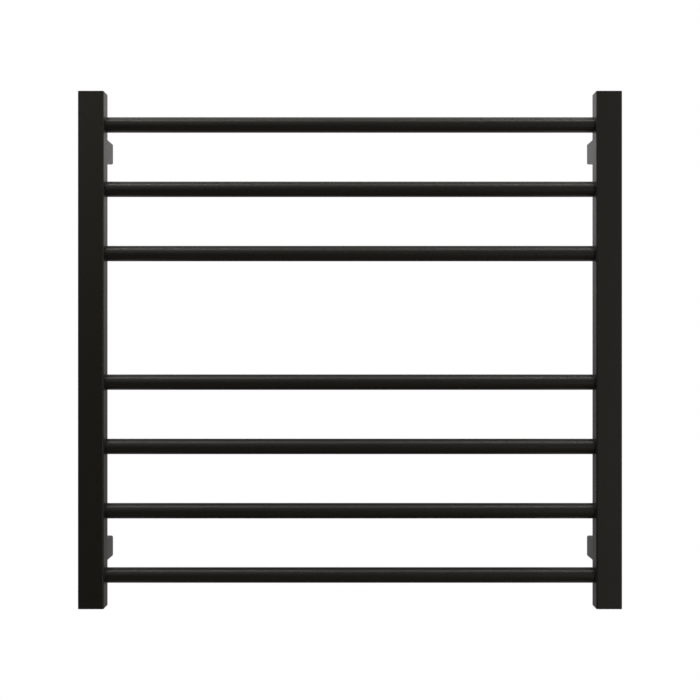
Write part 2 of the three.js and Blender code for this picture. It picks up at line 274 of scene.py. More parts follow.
class Finish(Work):
    """One material. It reads Object coordinates, and ends in a Principled surface."""

    def __init__(self, name):
        self.material = bpy.data.materials.new(name)
        self.material.use_nodes = True
        super().__init__(self.material.node_tree)
        self.tree.nodes.clear()
        self.place = self.add("ShaderNodeTexCoord")["Object"]

    def noise(self, size, detail=2.0, roughness=0.5, stretch=None):
        """Noise from 0 to 1 whose lumps are about size metres across."""
        place = self.place
        if stretch:
            place = self.add("ShaderNodeMapping", sockets={"Vector": place, "Scale": stretch})["Vector"]
        inputs = {"Vector": place, "Scale": 1 / size, "Detail": detail, "Roughness": roughness}
        return self.add("ShaderNodeTexNoise", sockets=inputs)["Fac"]

    def edge(self):
        """1 on the rounded edges of a piece and 0 on its flats, from the piece's own attribute."""
        return self.add("ShaderNodeAttribute", {"attribute_name": "edge"})["Fac"]

    def tint(self, amount, first, second):
        inputs = {0: amount, 6: (*first, 1), 7: (*second, 1)}
        return self.add("ShaderNodeMix", {"data_type": "RGBA"}, inputs)[2]

    def over(self, amount, under, colour):
        inputs = {0: amount, 6: under, 7: (*colour, 1)}
        return self.add("ShaderNodeMix", {"data_type": "RGBA"}, inputs)[2]

    def bump(self, height, distance, under=None):
        inputs = {"Height": height, "Distance": distance}
        if under:
            inputs["Normal"] = under
        return self.add("ShaderNodeBump", sockets=inputs)["Normal"]

    def surface(self, **inputs):
        """Ends the material. A name such as base_color stands for the socket Base Color."""
        sockets = {name.replace("_", " ").title(): value for name, value in inputs.items()}
        shader = self.add("ShaderNodeBsdfPrincipled", sockets=sockets)
        self.add("ShaderNodeOutputMaterial", sockets={"Surface": shader[0]})
        return self.material


def shade(colour, factor):
    return tuple(min(1.0, channel * factor) for channel in colour)


def powder_coat(name, colour, roughness):
    """Baked powder coat: a soft orange peel, faint clouds in its gloss, and edges that are glossier and
    painted lighter, partly a thinner film and partly a painted sheen.
    """
    work = Finish(name)
    clouds = work.noise(110 * MM, detail=3)
    mottle = work.noise(14 * MM, detail=4, roughness=0.6)
    grain = work.noise(0.45 * MM, detail=3, roughness=0.65)
    orange_peel = work.noise(2.2 * MM, detail=1.5)
    specks = work.ramp(work.noise(2.6 * MM, detail=1), (0.74, 0), (0.8, 1))
    thin_coat_and_sheen = work.edge() * work.ramp(work.noise(9 * MM, detail=3), (0.38, 0), (0.66, 1))
    body = work.tint(clouds * 0.45 + mottle * 0.55, shade(colour, 0.86), shade(colour, 1.14))
    # edges painted lighter: partly the thinner coat there, partly a painted sheen
    body = work.over(thin_coat_and_sheen * 0.3, body, shade(colour, 2.2))
    body = work.over(specks * 0.04, body, (0.16, 0.15, 0.14))
    gloss = (clouds - 0.5) * 0.08 + (mottle - 0.5) * 0.06 + specks * 0.04 - thin_coat_and_sheen * 0.05
    return work.surface(
        base_color=body,
        roughness=gloss + roughness,
        normal=work.bump(orange_peel, 0.022 * MM, under=work.bump(grain, 0.01 * MM)),
    )


def zinc_casting(name, colour):
    """Coated zinc casting: a coarser skin with flow marks and small pits."""
    work = Finish(name)
    skin = work.noise(0.9 * MM, detail=4, roughness=0.6)
    flow = work.noise(8 * MM, detail=3, stretch=(1, 0.35, 1))
    pits = work.ramp(work.noise(1.9 * MM, detail=1), (0.66, 0), (0.74, 1))
    body = work.tint(flow, shade(colour, 0.8), shade(colour, 1.35))
    return work.surface(
        base_color=work.over(work.edge() * 0.35, body, shade(colour, 3.0)),
        roughness=(flow - 0.5) * 0.16 + pits * 0.1 + 0.5,
        normal=work.bump(skin - pits * 0.8, 0.05 * MM),
    )


def turned_metal(name, colour, roughness, wear, worn_colour):
    """Plated or blackened steel, or brass: fine turning lines, tarnish and brighter edges."""
    work = Finish(name)
    lines = work.noise(0.12 * MM, detail=2, stretch=(1, 0.12, 1))
    tarnish = work.noise(3.2 * MM, detail=4, roughness=0.62)
    bright = work.ramp(work.noise(1.1 * MM, detail=3), (0.45, 0), (0.7, 1)) * work.edge()
    body = work.tint(tarnish, shade(colour, 0.72), shade(colour, 1.18))
    return work.surface(
        base_color=work.over(bright * wear, body, worn_colour),
        metallic=1.0,
        roughness=(tarnish - 0.5) * 0.22 + (lines - 0.5) * 0.12 + roughness,
        normal=work.bump(lines, 0.008 * MM, under=work.bump(tarnish, 0.02 * MM)),
    )


def moulded_nylon(name, colour, roughness):
    """Moulded nylon: slightly streaky, with a fine etched skin and shallow sinks."""
    work = Finish(name)
    streaks = work.noise(4 * MM, detail=4, stretch=(1, 0.25, 1))
    skin = work.noise(0.35 * MM, detail=3, roughness=0.6)
    sinks = work.noise(6 * MM, detail=2)
    return work.surface(
        base_color=work.tint(streaks, shade(colour, 0.86), shade(colour, 1.12)),
        roughness=(skin - 0.5) * 0.14 + (streaks - 0.5) * 0.1 + roughness,
        normal=work.bump(skin, 0.015 * MM, under=work.bump(sinks, 0.06 * MM)),
    )


def rubber_sheath(name, colour, roughness):
    """Silicone or rubber: a drawn skin with fine drag lines, and talc dust in patches."""
    work = Finish(name)
    drag = work.noise(0.5 * MM, detail=3, stretch=(0.15, 1, 1))
    talc = work.ramp(work.noise(6 * MM, detail=5, roughness=0.65), (0.46, 0), (0.72, 1))
    tone = work.noise(25 * MM, detail=3)
    body = work.tint(tone, shade(colour, 0.85), shade(colour, 1.15))
    return work.surface(
        base_color=work.over(talc * 0.16, body, (0.5, 0.48, 0.45)),
        roughness=talc * 0.14 + (drag - 0.5) * 0.12 + roughness,
        normal=work.bump(drag, 0.03 * MM),
        sheen_weight=0.15,
    )


def shrunk_sleeve(name, colour):
    """Heat-shrink sleeve: slight wrinkles over what it grips, and a waxy gloss."""
    work = Finish(name)
    wrinkle = work.noise(2.4 * MM, detail=2, stretch=(0.5, 1, 0.5))
    grain = work.noise(0.3 * MM, detail=2)
    tone = work.noise(7 * MM, detail=3)
    return work.surface(
        base_color=work.tint(tone, shade(colour, 0.8), shade(colour, 1.5)),
        roughness=(tone - 0.5) * 0.2 + (grain - 0.5) * 0.08 + 0.42,
        normal=work.bump(wrinkle, 0.12 * MM, under=work.bump(grain, 0.01 * MM)),
    )


def steatite(name, colour):
    """Pressed ceramic: a dry skin with specks, smoother on its worn corners."""
    work = Finish(name)
    press = work.noise(0.6 * MM, detail=4, roughness=0.6)
    specks = work.ramp(work.noise(0.8 * MM, detail=1), (0.7, 0), (0.78, 1))
    tone = work.noise(6 * MM, detail=3)
    body = work.tint(tone, shade(colour, 0.9), shade(colour, 1.06))
    return work.surface(
        base_color=work.over(specks * 0.35, body, (0.34, 0.3, 0.24)),
        roughness=(tone - 0.5) * 0.14 + 0.46 - work.edge() * 0.1,
        normal=work.bump(press, 0.03 * MM),
    )


class Palette:
    """The finished materials under the record's slot names. Each is made when it is first used."""

    def __init__(self):
        self.made = {}

    def __getitem__(self, slot):
        if slot not in self.made:
            self.made[slot] = getattr(self, slot)()
        return self.made[slot]

    def black_coat(self):
        return powder_coat("black_powder_coat", colours().coat, colours().coat_roughness)

    def black_casting(self):
        return zinc_casting("black_zinc_casting", colours().casting)

    def zinc_steel(self):
        return turned_metal("zinc_plated_steel", (0.6, 0.61, 0.63), 0.3, 0.3, (0.8, 0.8, 0.8))

    def black_steel(self):
        return turned_metal("blackened_steel", (0.045, 0.045, 0.048), 0.38, 0.5, (0.3, 0.3, 0.3))

    def brass(self):
        return turned_metal("plain_brass", (0.66, 0.45, 0.16), 0.3, 0.4, (0.88, 0.68, 0.34))

    def grey_nylon(self):
        return moulded_nylon("grey_nylon", colours().plug, 0.5)

    def black_rubber(self):
        return rubber_sheath("black_rubber", (0.014, 0.014, 0.014), 0.6)

    def white_ceramic(self):
        return steatite("white_steatite", (0.76, 0.73, 0.66))

    def black_silicone(self):
        return rubber_sheath("black_silicone", (0.016, 0.016, 0.017), 0.5)

    def red_silicone(self):
        return rubber_sheath("red_silicone", colours().heating_cable, 0.48)

    def shrink_sleeve(self):
        return shrunk_sleeve("black_shrink_sleeve", (0.012, 0.012, 0.013))


PALETTE = Palette()

# ------------------------------------------------------------------ shapes

# Each basis turns a shape's own +Z, along which it is made, to the way it points on the rack.
UP = Matrix.Identity(3)
DOWN = Matrix(((1, 0, 0), (0, -1, 0), (0, 0, -1)))
ALONG_X = Matrix(((0, 0, 1), (1, 0, 0), (0, 1, 0)))
INTO_ROOM = Matrix(((1, 0, 0), (0, 0, -1), (0, 1, 0)))
INTO_WALL = Matrix(((-1, 0, 0), (0, 0, 1), (0, 1, 0)))

CORNER_STEPS = 6  # faces in each rounded corner
FULL_ROUND = 0.99  # of half a side: the largest corner radius that still leaves the outline flats


class Shape:
    """Vertices and faces for one mesh, with how much of an edge each vertex is."""

    def __init__(self):
        self.points = []
        self.faces = []
        self.edge = []

    def loft(self, rings, closed=False):
        """Joins rings of points, each given as (points, edge amount). The two ends are filled, or
        joined to each other where closed is true."""
        first = len(self.points)
        count = len(rings[0][0])
        for points, amount in rings:
            self.points += [Vector(point) for point in points]
            self.edge += amount if isinstance(amount, list) else [amount] * count
        last = first + (len(rings) - 1) * count
        starts = [first + step * count for step in range(len(rings))]
        ends = starts[1:] + starts[:1]
        for here, there in zip(starts, ends) if closed else zip(starts, starts[1:]):
            for i in range(count):
                j = (i + 1) % count
                self.faces.append((here + i, here + j, there + j, there + i))
        if not closed:
            self.faces.append(tuple(first + i for i in reversed(range(count))))
            self.faces.append(tuple(last + i for i in range(count)))
        return self

    def turned(self, basis, place=(0, 0, 0)):
        self.points = [basis @ point + Vector(place) for point in self.points]
        return self

    def mesh(self, name):
        mesh = bpy.data.meshes.new(name)
        mesh.from_pydata([tuple(point) for point in self.points], [], self.faces)
        mesh.attributes.new("edge", "FLOAT", "POINT").data.foreach_set("value", self.edge)
        return mesh


def circle(diameter, along, sides=48):
    radius = diameter / 2
    angles = [2 * math.pi * i / sides for i in range(sides)]
    return [(radius * math.cos(a), radius * math.sin(a), along) for a in angles]


def rounded(width, height, radius, along):
    """The points of a rounded rectangle, anticlockwise as seen from further along."""
    points = []
    for quarter, (x, y) in enumerate(((1, 1), (-1, 1), (-1, -1), (1, -1))):
        for step in range(CORNER_STEPS + 1):
            angle = math.pi / 2 * (quarter + step / CORNER_STEPS)
            points.append((
                x * (width / 2 - radius) + radius * math.cos(angle),
                y * (height / 2 - radius) + radius * math.sin(angle),
                along,
            ))
    return points


def corner_amounts():
    """The edge amounts of a rounded rectangle: 1 in the middle of each corner, 0 where it ends."""
    steps = range(CORNER_STEPS + 1)
    return [math.sin(math.pi * step / CORNER_STEPS) ** 0.5 for _ in range(4) for step in steps]


def lathe(profile, sides=48, closed=False):
    """A turned shape from (diameter, along, edge amount), going forwards up the outside. A closed
    profile comes back down the inside."""
    rings = [(circle(diameter, along, sides), amount) for diameter, along, amount in profile]
    return Shape().loft(rings, closed)


def square_tube(side, wall, radius, length, edge_break):
    """A square tube with rounded corners and broken edges at both ends, along +Z from 0."""
    hollow = side - 2 * wall
    inner_radius = max(radius - wall, 0.5 * MM)

    def outer(inset, along, amount):
        return rounded(side - 2 * inset, side - 2 * inset, radius - inset, along), amount

    return Shape().loft([
        (rounded(hollow, hollow, inner_radius, 0), 0.0),
        outer(edge_break, 0, 1.0),
        outer(0, edge_break, 0.6),
        outer(0, 4 * edge_break, corner_amounts()),
        outer(0, length - 4 * edge_break, corner_amounts()),
        outer(0, length - edge_break, 0.6),
        outer(edge_break, length, 1.0),
        (rounded(hollow, hollow, inner_radius, length), 0.0),
    ], closed=True)


def drill(diameter, start, end, mouth=0.0, sides=48):
    """A cutter for a round hole from start to end, wider by mouth at its start."""
    profile = [(diameter + 2 * mouth, start - mouth, 0.8), (diameter + 2 * mouth, start, 0.8)]
    return lathe([*profile, (diameter, start + mouth, 0.5), (diameter, end, 0.0)], sides)


def slab(width, height, start, end, radius=0.1 * MM, narrowing=0.0):
    """A block along +Z from start to end, each side narrowing by that much on the way."""
    less = 2 * narrowing
    return Shape().loft([
        (rounded(width, height, radius, start), 0.0),
        (rounded(width - less, height - less, radius, end), 0.0),
    ])


# ------------------------------------------------------------------ meshes


def show(mesh, name):
    thing = bpy.data.objects.new(name, mesh)
    bpy.context.scene.collection.objects.link(thing)
    return thing


def settled(thing):
    """Replaces the object's mesh with its evaluated one, and drops its modifiers."""
    bpy.context.view_layer.update()
    graph = bpy.context.evaluated_depsgraph_get()
    mesh = bpy.data.meshes.new_from_object(thing.evaluated_get(graph), depsgraph=graph)
    old = thing.data
    thing.modifiers.clear()
    thing.data = mesh
    bpy.data.meshes.remove(old)
    mesh.name = thing.name
    return thing


def taken(thing):
    """The object's settled mesh on its own."""
    mesh = settled(thing).data
    bpy.data.objects.remove(thing)
    return mesh


def combined(mesh, operation, shapes):
    """The mesh with the shapes cut out of it, or joined to it."""
    thing = show(mesh, mesh.name)
    helpers = []
    for shape in shapes:
        tool = shape.mesh("tool") if isinstance(shape, Shape) else shape
        helpers.append(show(tool, "tool"))
        modifier = thing.modifiers.new("shape", "BOOLEAN")
        modifier.operation = operation
        modifier.object = helpers[-1]
        modifier.solver = "EXACT"
    made = taken(thing)
    for helper in helpers:
        tool = helper.data
        bpy.data.objects.remove(helper)
        bpy.data.meshes.remove(tool)
    return made


def cut(mesh, *shapes):
    return combined(mesh, "DIFFERENCE", shapes)


def joined(mesh, *shapes):
    return combined(mesh, "UNION", shapes)


def placed(mesh, basis, place, name):
    """A copy of a mesh, turned and moved to its place."""
    made = mesh.copy()
    made.name = name
    made.transform(Matrix.Translation(Vector(place)) @ basis.to_4x4())
    return made


def cleaned(mesh):
    work = bmesh.new()
    work.from_mesh(mesh)
    bmesh.ops.remove_doubles(work, verts=work.verts, dist=1e-7)
    bmesh.ops.dissolve_degenerate(work, edges=work.edges, dist=1e-7)
    bmesh.ops.recalc_face_normals(work, faces=work.faces)
    work.to_mesh(mesh)
    work.free()
    return mesh


def finish_piece(mesh, name, body, slot, *nodes, sharp=35):
    """Shades a mesh, gives it its material, puts it on its body and hides the model's parts that it stands
    for. Edges steeper than sharp degrees stay crisp."""
    cleaned(mesh)
    mesh.shade_smooth()
    mesh.set_sharp_from_angle(angle=math.radians(sharp))
    mesh.materials.clear()
    mesh.materials.append(PALETTE[slot])
    thing = show(mesh, name)
    modifier = thing.modifiers.new("normals", "WEIGHTED_NORMAL")
    modifier.keep_sharp = True
    modifier.weight = 100
    modifier.thresh = 0.01
    settled(thing)
    if nodes:
        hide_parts(*nodes)
    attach(thing, body)
    return thing


# ------------------------------------------------------------------ geometry trees


class Tree(Work):
    """A geometry tree with named inputs, ending in Realize Instances and Set Material."""

    def __init__(self, name, inputs):
        super().__init__(bpy.data.node_groups.new(name, "GeometryNodeTree"))
        kinds = {int: "NodeSocketInt", float: "NodeSocketFloat"}
        face = self.tree.interface
        face.new_socket("Geometry", in_out="INPUT", socket_type="NodeSocketGeometry")
        for label, default in inputs.items():
            face.new_socket(label, in_out="INPUT", socket_type=kinds[type(default)]).default_value = default
        face.new_socket("Material", in_out="INPUT", socket_type="NodeSocketMaterial")
        face.new_socket("Geometry", in_out="OUTPUT", socket_type="NodeSocketGeometry")
        self.inputs = self.add("NodeGroupInput")

    def at_each_point(self, geometry):
        """One copy of the geometry at each starting point, turned by the point's turn attribute."""
        turn = self.add("GeometryNodeInputNamedAttribute", {"data_type": "FLOAT_VECTOR"}, {"Name": "turn"})
        sockets = {"Points": self.inputs["Geometry"], "Instance": geometry, "Rotation": turn["Attribute"]}
        return self.add("GeometryNodeInstanceOnPoints", sockets=sockets)["Instances"]

    def finish(self, geometry):
        real = self.add("GeometryNodeRealizeInstances", sockets={"Geometry": geometry})["Geometry"]
        sockets = {"Geometry": real, "Material": self.inputs["Material"]}
        painted = self.add("GeometryNodeSetMaterial", sockets=sockets)["Geometry"]
        self.add("NodeGroupOutput", sockets={"Geometry": painted})
        return self.tree


TREES = {}


def grown(make_tree, start, material, **inputs):
    """The mesh that a geometry tree makes from a starting mesh."""
    if make_tree not in TREES:
        TREES[make_tree] = make_tree()
    tree = TREES[make_tree]
    thing = show(start, start.name)
    modifier = thing.modifiers.new("tree", "NODES")
    modifier.node_group = tree
    values = {key.replace("_", " ").capitalize(): value for key, value in inputs.items()}
    values["Material"] = material
    for item in tree.interface.items_tree:
        if item.in_out == "INPUT" and item.name in values:
            modifier[item.identifier] = values.pop(item.name)
    if values:
        raise ValueError(f"the tree {tree.name} has no inputs named {sorted(values)}")
    made = taken(thing)
    if not made.polygons:
        raise ValueError(f"the tree {tree.name} made no faces for {made.name}")
    return made


def points_mesh(name, points, turns=None, edges=()):
    """A starting mesh of points, each with the turn that its copy gets."""
    mesh = bpy.data.meshes.new(name)
    mesh.from_pydata([tuple(point) for point in points], list(edges), [])
    flat = [angle for turn in turns or [(0, 0, 0)] * len(points) for angle in turn]
    mesh.attributes.new("turn", "FLOAT_VECTOR", "POINT").data.foreach_set("vector", flat)
    return mesh


def round_bar_tree():
    """A round tube along Z at each point: the section of its wall, swept round a circle."""
    inputs = {"Diameter": 0.018, "Wall": 0.0012, "Length": 0.578, "Edge break": 0.0003, "Sides": 96}
    work = Tree("Round bars", inputs)
    wall = work.inputs["Wall"]
    middle_radius = (work.inputs["Diameter"] - wall) / 2
    ring = work.add(
        "GeometryNodeCurvePrimitiveCircle",
        sockets={"Resolution": work.inputs["Sides"], "Radius": middle_radius})["Curve"]
    section = work.add(
        "GeometryNodeCurvePrimitiveQuadrilateral",
        sockets={"Width": wall, "Height": work.inputs["Length"]})["Curve"]
    section = work.add(
        "GeometryNodeFilletCurve", {"mode": "POLY"},
        {"Curve": section, "Radius": work.inputs["Edge break"], "Count": 3})["Curve"]
    tube = work.add("GeometryNodeCurveToMesh", sockets={"Curve": ring, "Profile Curve": section})["Mesh"]
    return work.finish(work.at_each_point(tube))


def weld_tree():
    """A small weld bead round a round or square joint, in the XY plane of each point."""
    inputs = {"Width": 0.018, "Corner": 0.009, "Size": 0.00055, "Ripple": 0.4, "Ripple size": 0.0014}
    work = Tree("Weld beads", inputs)
    width, ripple = work.inputs["Width"], work.inputs["Ripple"]
    outline = work.add("GeometryNodeCurvePrimitiveQuadrilateral", sockets={"Width": width, "Height": width})
    bent = work.add(
        "GeometryNodeFilletCurve", {"mode": "POLY"},
        {"Curve": outline["Curve"], "Radius": work.inputs["Corner"], "Count": 20, "Limit Radius": True})
    path = work.add("GeometryNodeResampleCurve", {"mode": "COUNT"}, {"Curve": bent["Curve"], "Count": 128})
    place = work.add("GeometryNodeInputPosition")["Position"]
    sockets = {"Vector": place, "Scale": 1 / work.inputs["Ripple size"], "Detail": 1.0}
    waver = work.add("ShaderNodeTexNoise", sockets=sockets)["Fac"]
    section = work.add(
        "GeometryNodeCurvePrimitiveCircle", sockets={"Resolution": 12, "Radius": work.inputs["Size"]})
    bead = work.add("GeometryNodeCurveToMesh", sockets={
        "Curve": path["Curve"], "Profile Curve": section["Curve"], "Scale": (waver - 0.5) * ripple + 1})
    return work.finish(work.at_each_point(bead["Mesh"]))


def threaded_rod_tree():
    """A closed rod along +Z from each point, with a screw thread, or plain rings where Starts is 0.
    Its tip tapers over the length Tip. Slope is where the crest lies between two grooves."""
    inputs = {
        "Diameter": 0.004, "Depth": 0.0004, "Pitch": 0.0007, "Length": 0.003, "Starts": 1.0,
        "Tip": 0.0006, "Tip diameter": 0.003, "Slope": 0.5, "Run in": 0.0005, "Rows": 60, "Sides": 40,
    }
    work = Tree("Threaded rods", inputs)
    length, slope = work.inputs["Length"], work.inputs["Slope"]
    radius = work.inputs["Diameter"] / 2
    rod = work.add("GeometryNodeMeshCylinder", {"fill_type": "NGON"}, {
        "Vertices": work.inputs["Sides"], "Side Segments": work.inputs["Rows"], "Radius": radius,
        "Depth": length})["Mesh"]
    x, y, z = work.split(work.add("GeometryNodeInputPosition")["Position"])
    along = z + length / 2
    turns = y.math("ARCTAN2", y, x) / (2 * math.pi)
    phase = (along / work.inputs["Pitch"] - turns * work.inputs["Starts"]).fraction()
    rise = (phase / slope).at_most((1 - phase) / (1 - slope))
    groove = (1 - (rise * 1.25).at_most(1.0)) * work.inputs["Depth"]
    groove = groove * (along / work.inputs["Run in"]).at_most(1.0)
    to_tip = ((length - along) / work.inputs["Tip"]).at_most(1.0)
    tip_share = work.inputs["Tip diameter"] / work.inputs["Diameter"]
    envelope = tip_share + (1 - tip_share) * to_tip
    factor = envelope * (1 - groove / radius)
    spot = work.vector(x * factor, y * factor, along)
    shaped = work.add("GeometryNodeSetPosition", sockets={"Geometry": rod, "Position": spot})["Geometry"]
    return work.finish(work.at_each_point(shaped))


def cable_tree():
    """A round cable along straight legs, with their corners bent to a radius."""
    work = Tree("Cables", {"Diameter": 0.004, "Bend radius": 0.0115, "Sides": 24})
    line = work.add("GeometryNodeMeshToCurve", sockets={"Mesh": work.inputs["Geometry"]})["Curve"]
    bent = work.add(
        "GeometryNodeFilletCurve", {"mode": "POLY"},
        {"Curve": line, "Radius": work.inputs["Bend radius"], "Count": 16})["Curve"]
    sockets = {"Resolution": work.inputs["Sides"], "Radius": work.inputs["Diameter"] / 2}
    ring = work.add("GeometryNodeCurvePrimitiveCircle", sockets=sockets)["Curve"]
    tube = work.add(
        "GeometryNodeCurveToMesh", sockets={"Curve": bent, "Profile Curve": ring, "Fill Caps": True})
    return work.finish(tube["Mesh"])


def threaded_rod(name, slot, **inputs):
    return grown(threaded_rod_tree, points_mesh(name, [(0, 0, 0)]), PALETTE[slot], **inputs)


# ------------------------------------------------------------------ the rack


class TOWELRACK_OT_posts(Operator):
    """Make the two square posts, with the holes for the bars and the lead"""

    bl_idname = "towel_rack.posts"
    bl_label = "Posts"

    wall: FloatProperty(name="Wall", description="Wall of the tube", default=1.5 * MM, unit="LENGTH")
    lead_hole: FloatProperty(
        name="Lead hole", description="Hole for the lead, behind the lower left arm", default=7 * MM,
        unit="LENGTH")

    def execute(self, context):
        for side in SIDES:
            node = f"{side}_post"
            low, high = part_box(node)
            centre, width = middle(node), extent(node).x
            tube = square_tube(width, self.wall, sizes().tube_corner, high.z - low.z, sizes().cap_line)
            tube.turned(UP, (centre.x, centre.y, low.z))
            hole = extent("bar_1").z + 2 * FIT_GAP
            reach = width / 4
            inner_wall = centre.x + (width / 2 if side == "left" else -width / 2)
            holes = [
                drill(hole, -reach, reach, sides=sizes().bar_sides).turned(
                    ALONG_X, (inner_wall, middle(bar).y, middle(bar).z))
                for bar in BARS
            ]
            if side == "left":
                lead_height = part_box("cold_lead")[1].z - sizes().lead / 2
                lead_way = drill(self.lead_hole, 0, width)
                holes.append(lead_way.turned(INTO_WALL, (centre.x, centre.y, lead_height)))
            finish_piece(cut(tube.mesh(node), *holes), f"{node}_tube", "rack", "black_coat", node)
        return {"FINISHED"}


class TOWELRACK_OT_end_caps(Operator):
    """Make the four caps that close the posts, flush, with a fine line round each"""

    bl_idname = "towel_rack.end_caps"
    bl_label = "End caps"

    rim: FloatProperty(name="Rim", description="Thickness of the rim", default=1.5 * MM, unit="LENGTH")
    soft_edge: FloatProperty(
        name="Soft edge", description="Rounding of the outer edge", default=0.7 * MM, unit="LENGTH")
    plug_gap: FloatProperty(
        name="Plug gap", description="From the post's outside to the cap's plug", default=1.8 * MM,
        unit="LENGTH")

    def execute(self, context):
        line, corner = sizes().cap_line, sizes().tube_corner
        for node in [f"{side}_{end}_cap" for side in SIDES for end in ("top", "bottom")]:
            size = extent(node)
            side, depth = size.x, size.z - self.rim
            plug = side - 2 * self.plug_gap
            rings = [
                (rounded(plug - 1.2 * MM, plug - 1.2 * MM, 0.6 * MM, -depth), 0.4),
                (rounded(plug, plug, 1 * MM, 1.2 * MM - depth), 0.2),
                (rounded(plug, plug, 1 * MM, 0), 0.0),
                (rounded(side - 2 * line, side - 2 * line, corner - line, 0), 0.5),
                (rounded(side, side, corner, line), 0.5),
            ]
            for step in range(6):
                angle = math.pi / 2 * step / 5
                inset = self.soft_edge * (1 - math.cos(angle))
                along = self.rim - self.soft_edge * (1 - math.sin(angle))
                rings.append((rounded(side - 2 * inset, side - 2 * inset, corner - inset, along), 0.7))
            flat = side - 3 * self.soft_edge
            rings.append((rounded(flat, flat, corner - self.soft_edge, self.rim), 0.0))
            top = "top" in node
            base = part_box(node)[1].z - self.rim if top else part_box(node)[0].z + self.rim
            shape = Shape().loft(rings).turned(UP if top else DOWN, (middle(node).x, middle(node).y, base))
            finish_piece(shape.mesh(node), f"{node}_cover", "rack", "black_coat", node, sharp=30)
        return {"FINISHED"}


class TOWELRACK_OT_bars(Operator):
    """Make the seven round bars"""

    bl_idname = "towel_rack.bars"
    bl_label = "Bars"

    wall: FloatProperty(name="Wall", description="Wall of the tube", default=1.2 * MM, unit="LENGTH")

    def execute(self, context):
        for node in BARS:
            size = extent(node)
            start = points_mesh(node, [middle(node)], [(0, math.pi / 2, 0)])
            mesh = grown(
                round_bar_tree, start, PALETTE["black_coat"], diameter=size.z, wall=self.wall,
                length=size.x, edge_break=sizes().edge_break, sides=sizes().bar_sides)
            finish_piece(mesh, f"{node}_tube", "rack", "black_coat", node)
        return {"FINISHED"}


class TOWELRACK_OT_arms(Operator):
    """Make the four bracket arms, each with a tapped hole below for its set screw"""

    bl_idname = "towel_rack.arms"
    bl_label = "Bracket arms"

    wall: FloatProperty(name="Wall", description="Wall of the tube", default=2 * MM, unit="LENGTH")
    tapped_hole: FloatProperty(
        name="Tapped hole", description="Hole for the set screw", default=4.2 * MM, unit="LENGTH")

    def execute(self, context):
        for corner in CORNERS:
            node = f"{corner}_arm"
            low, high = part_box(node)
            centre = middle(node)
            tube = square_tube(
                high.x - low.x, self.wall, sizes().tube_corner, high.y - low.y, sizes().edge_break)
            tube.turned(INTO_ROOM, (centre.x, high.y, centre.z))
            screw = middle(f"{corner}_set_screw")
            hole = drill(self.tapped_hole, 0, 3 * self.wall, mouth=sizes().edge_break)
            hole.turned(UP, (screw.x, screw.y, low.z))
            finish_piece(cut(tube.mesh(node), hole), f"{node}_tube", "rack", "black_coat", node)
        return {"FINISHED"}


class TOWELRACK_OT_welds(Operator):
    """Make the weld beads where the bars and the arms meet the posts"""

    bl_idname = "towel_rack.welds"
    bl_label = "Weld beads"

    def execute(self, context):
        quarter = math.pi / 2
        faces = [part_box("left_post")[1].x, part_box("right_post")[0].x]
        round_joints = [(x, middle(bar).y, middle(bar).z) for bar in BARS for x in faces]
        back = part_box("left_post")[1].y
        square_joints = [(middle(f"{c}_arm").x, back, middle(f"{c}_arm").z) for c in CORNERS]
        bar, arm = extent("bar_1").z, extent("upper_left_arm").x
        joints = [
            ("bar_welds", round_joints, (0, quarter, 0), bar, bar / 2),
            ("arm_welds", square_joints, (quarter, 0, 0), arm, sizes().tube_corner),
        ]
        for name, places, turn, width, corner in joints:
            start = points_mesh(name, places, [turn] * len(places))
            mesh = grown(
                weld_tree, start, PALETTE["black_coat"], width=width, corner=corner, size=sizes().weld,
                ripple=sizes().weld_ripple)
            finish_piece(mesh, name, "rack", "black_coat", sharp=80)
        return {"FINISHED"}


# ------------------------------------------------------------------ wall fixings


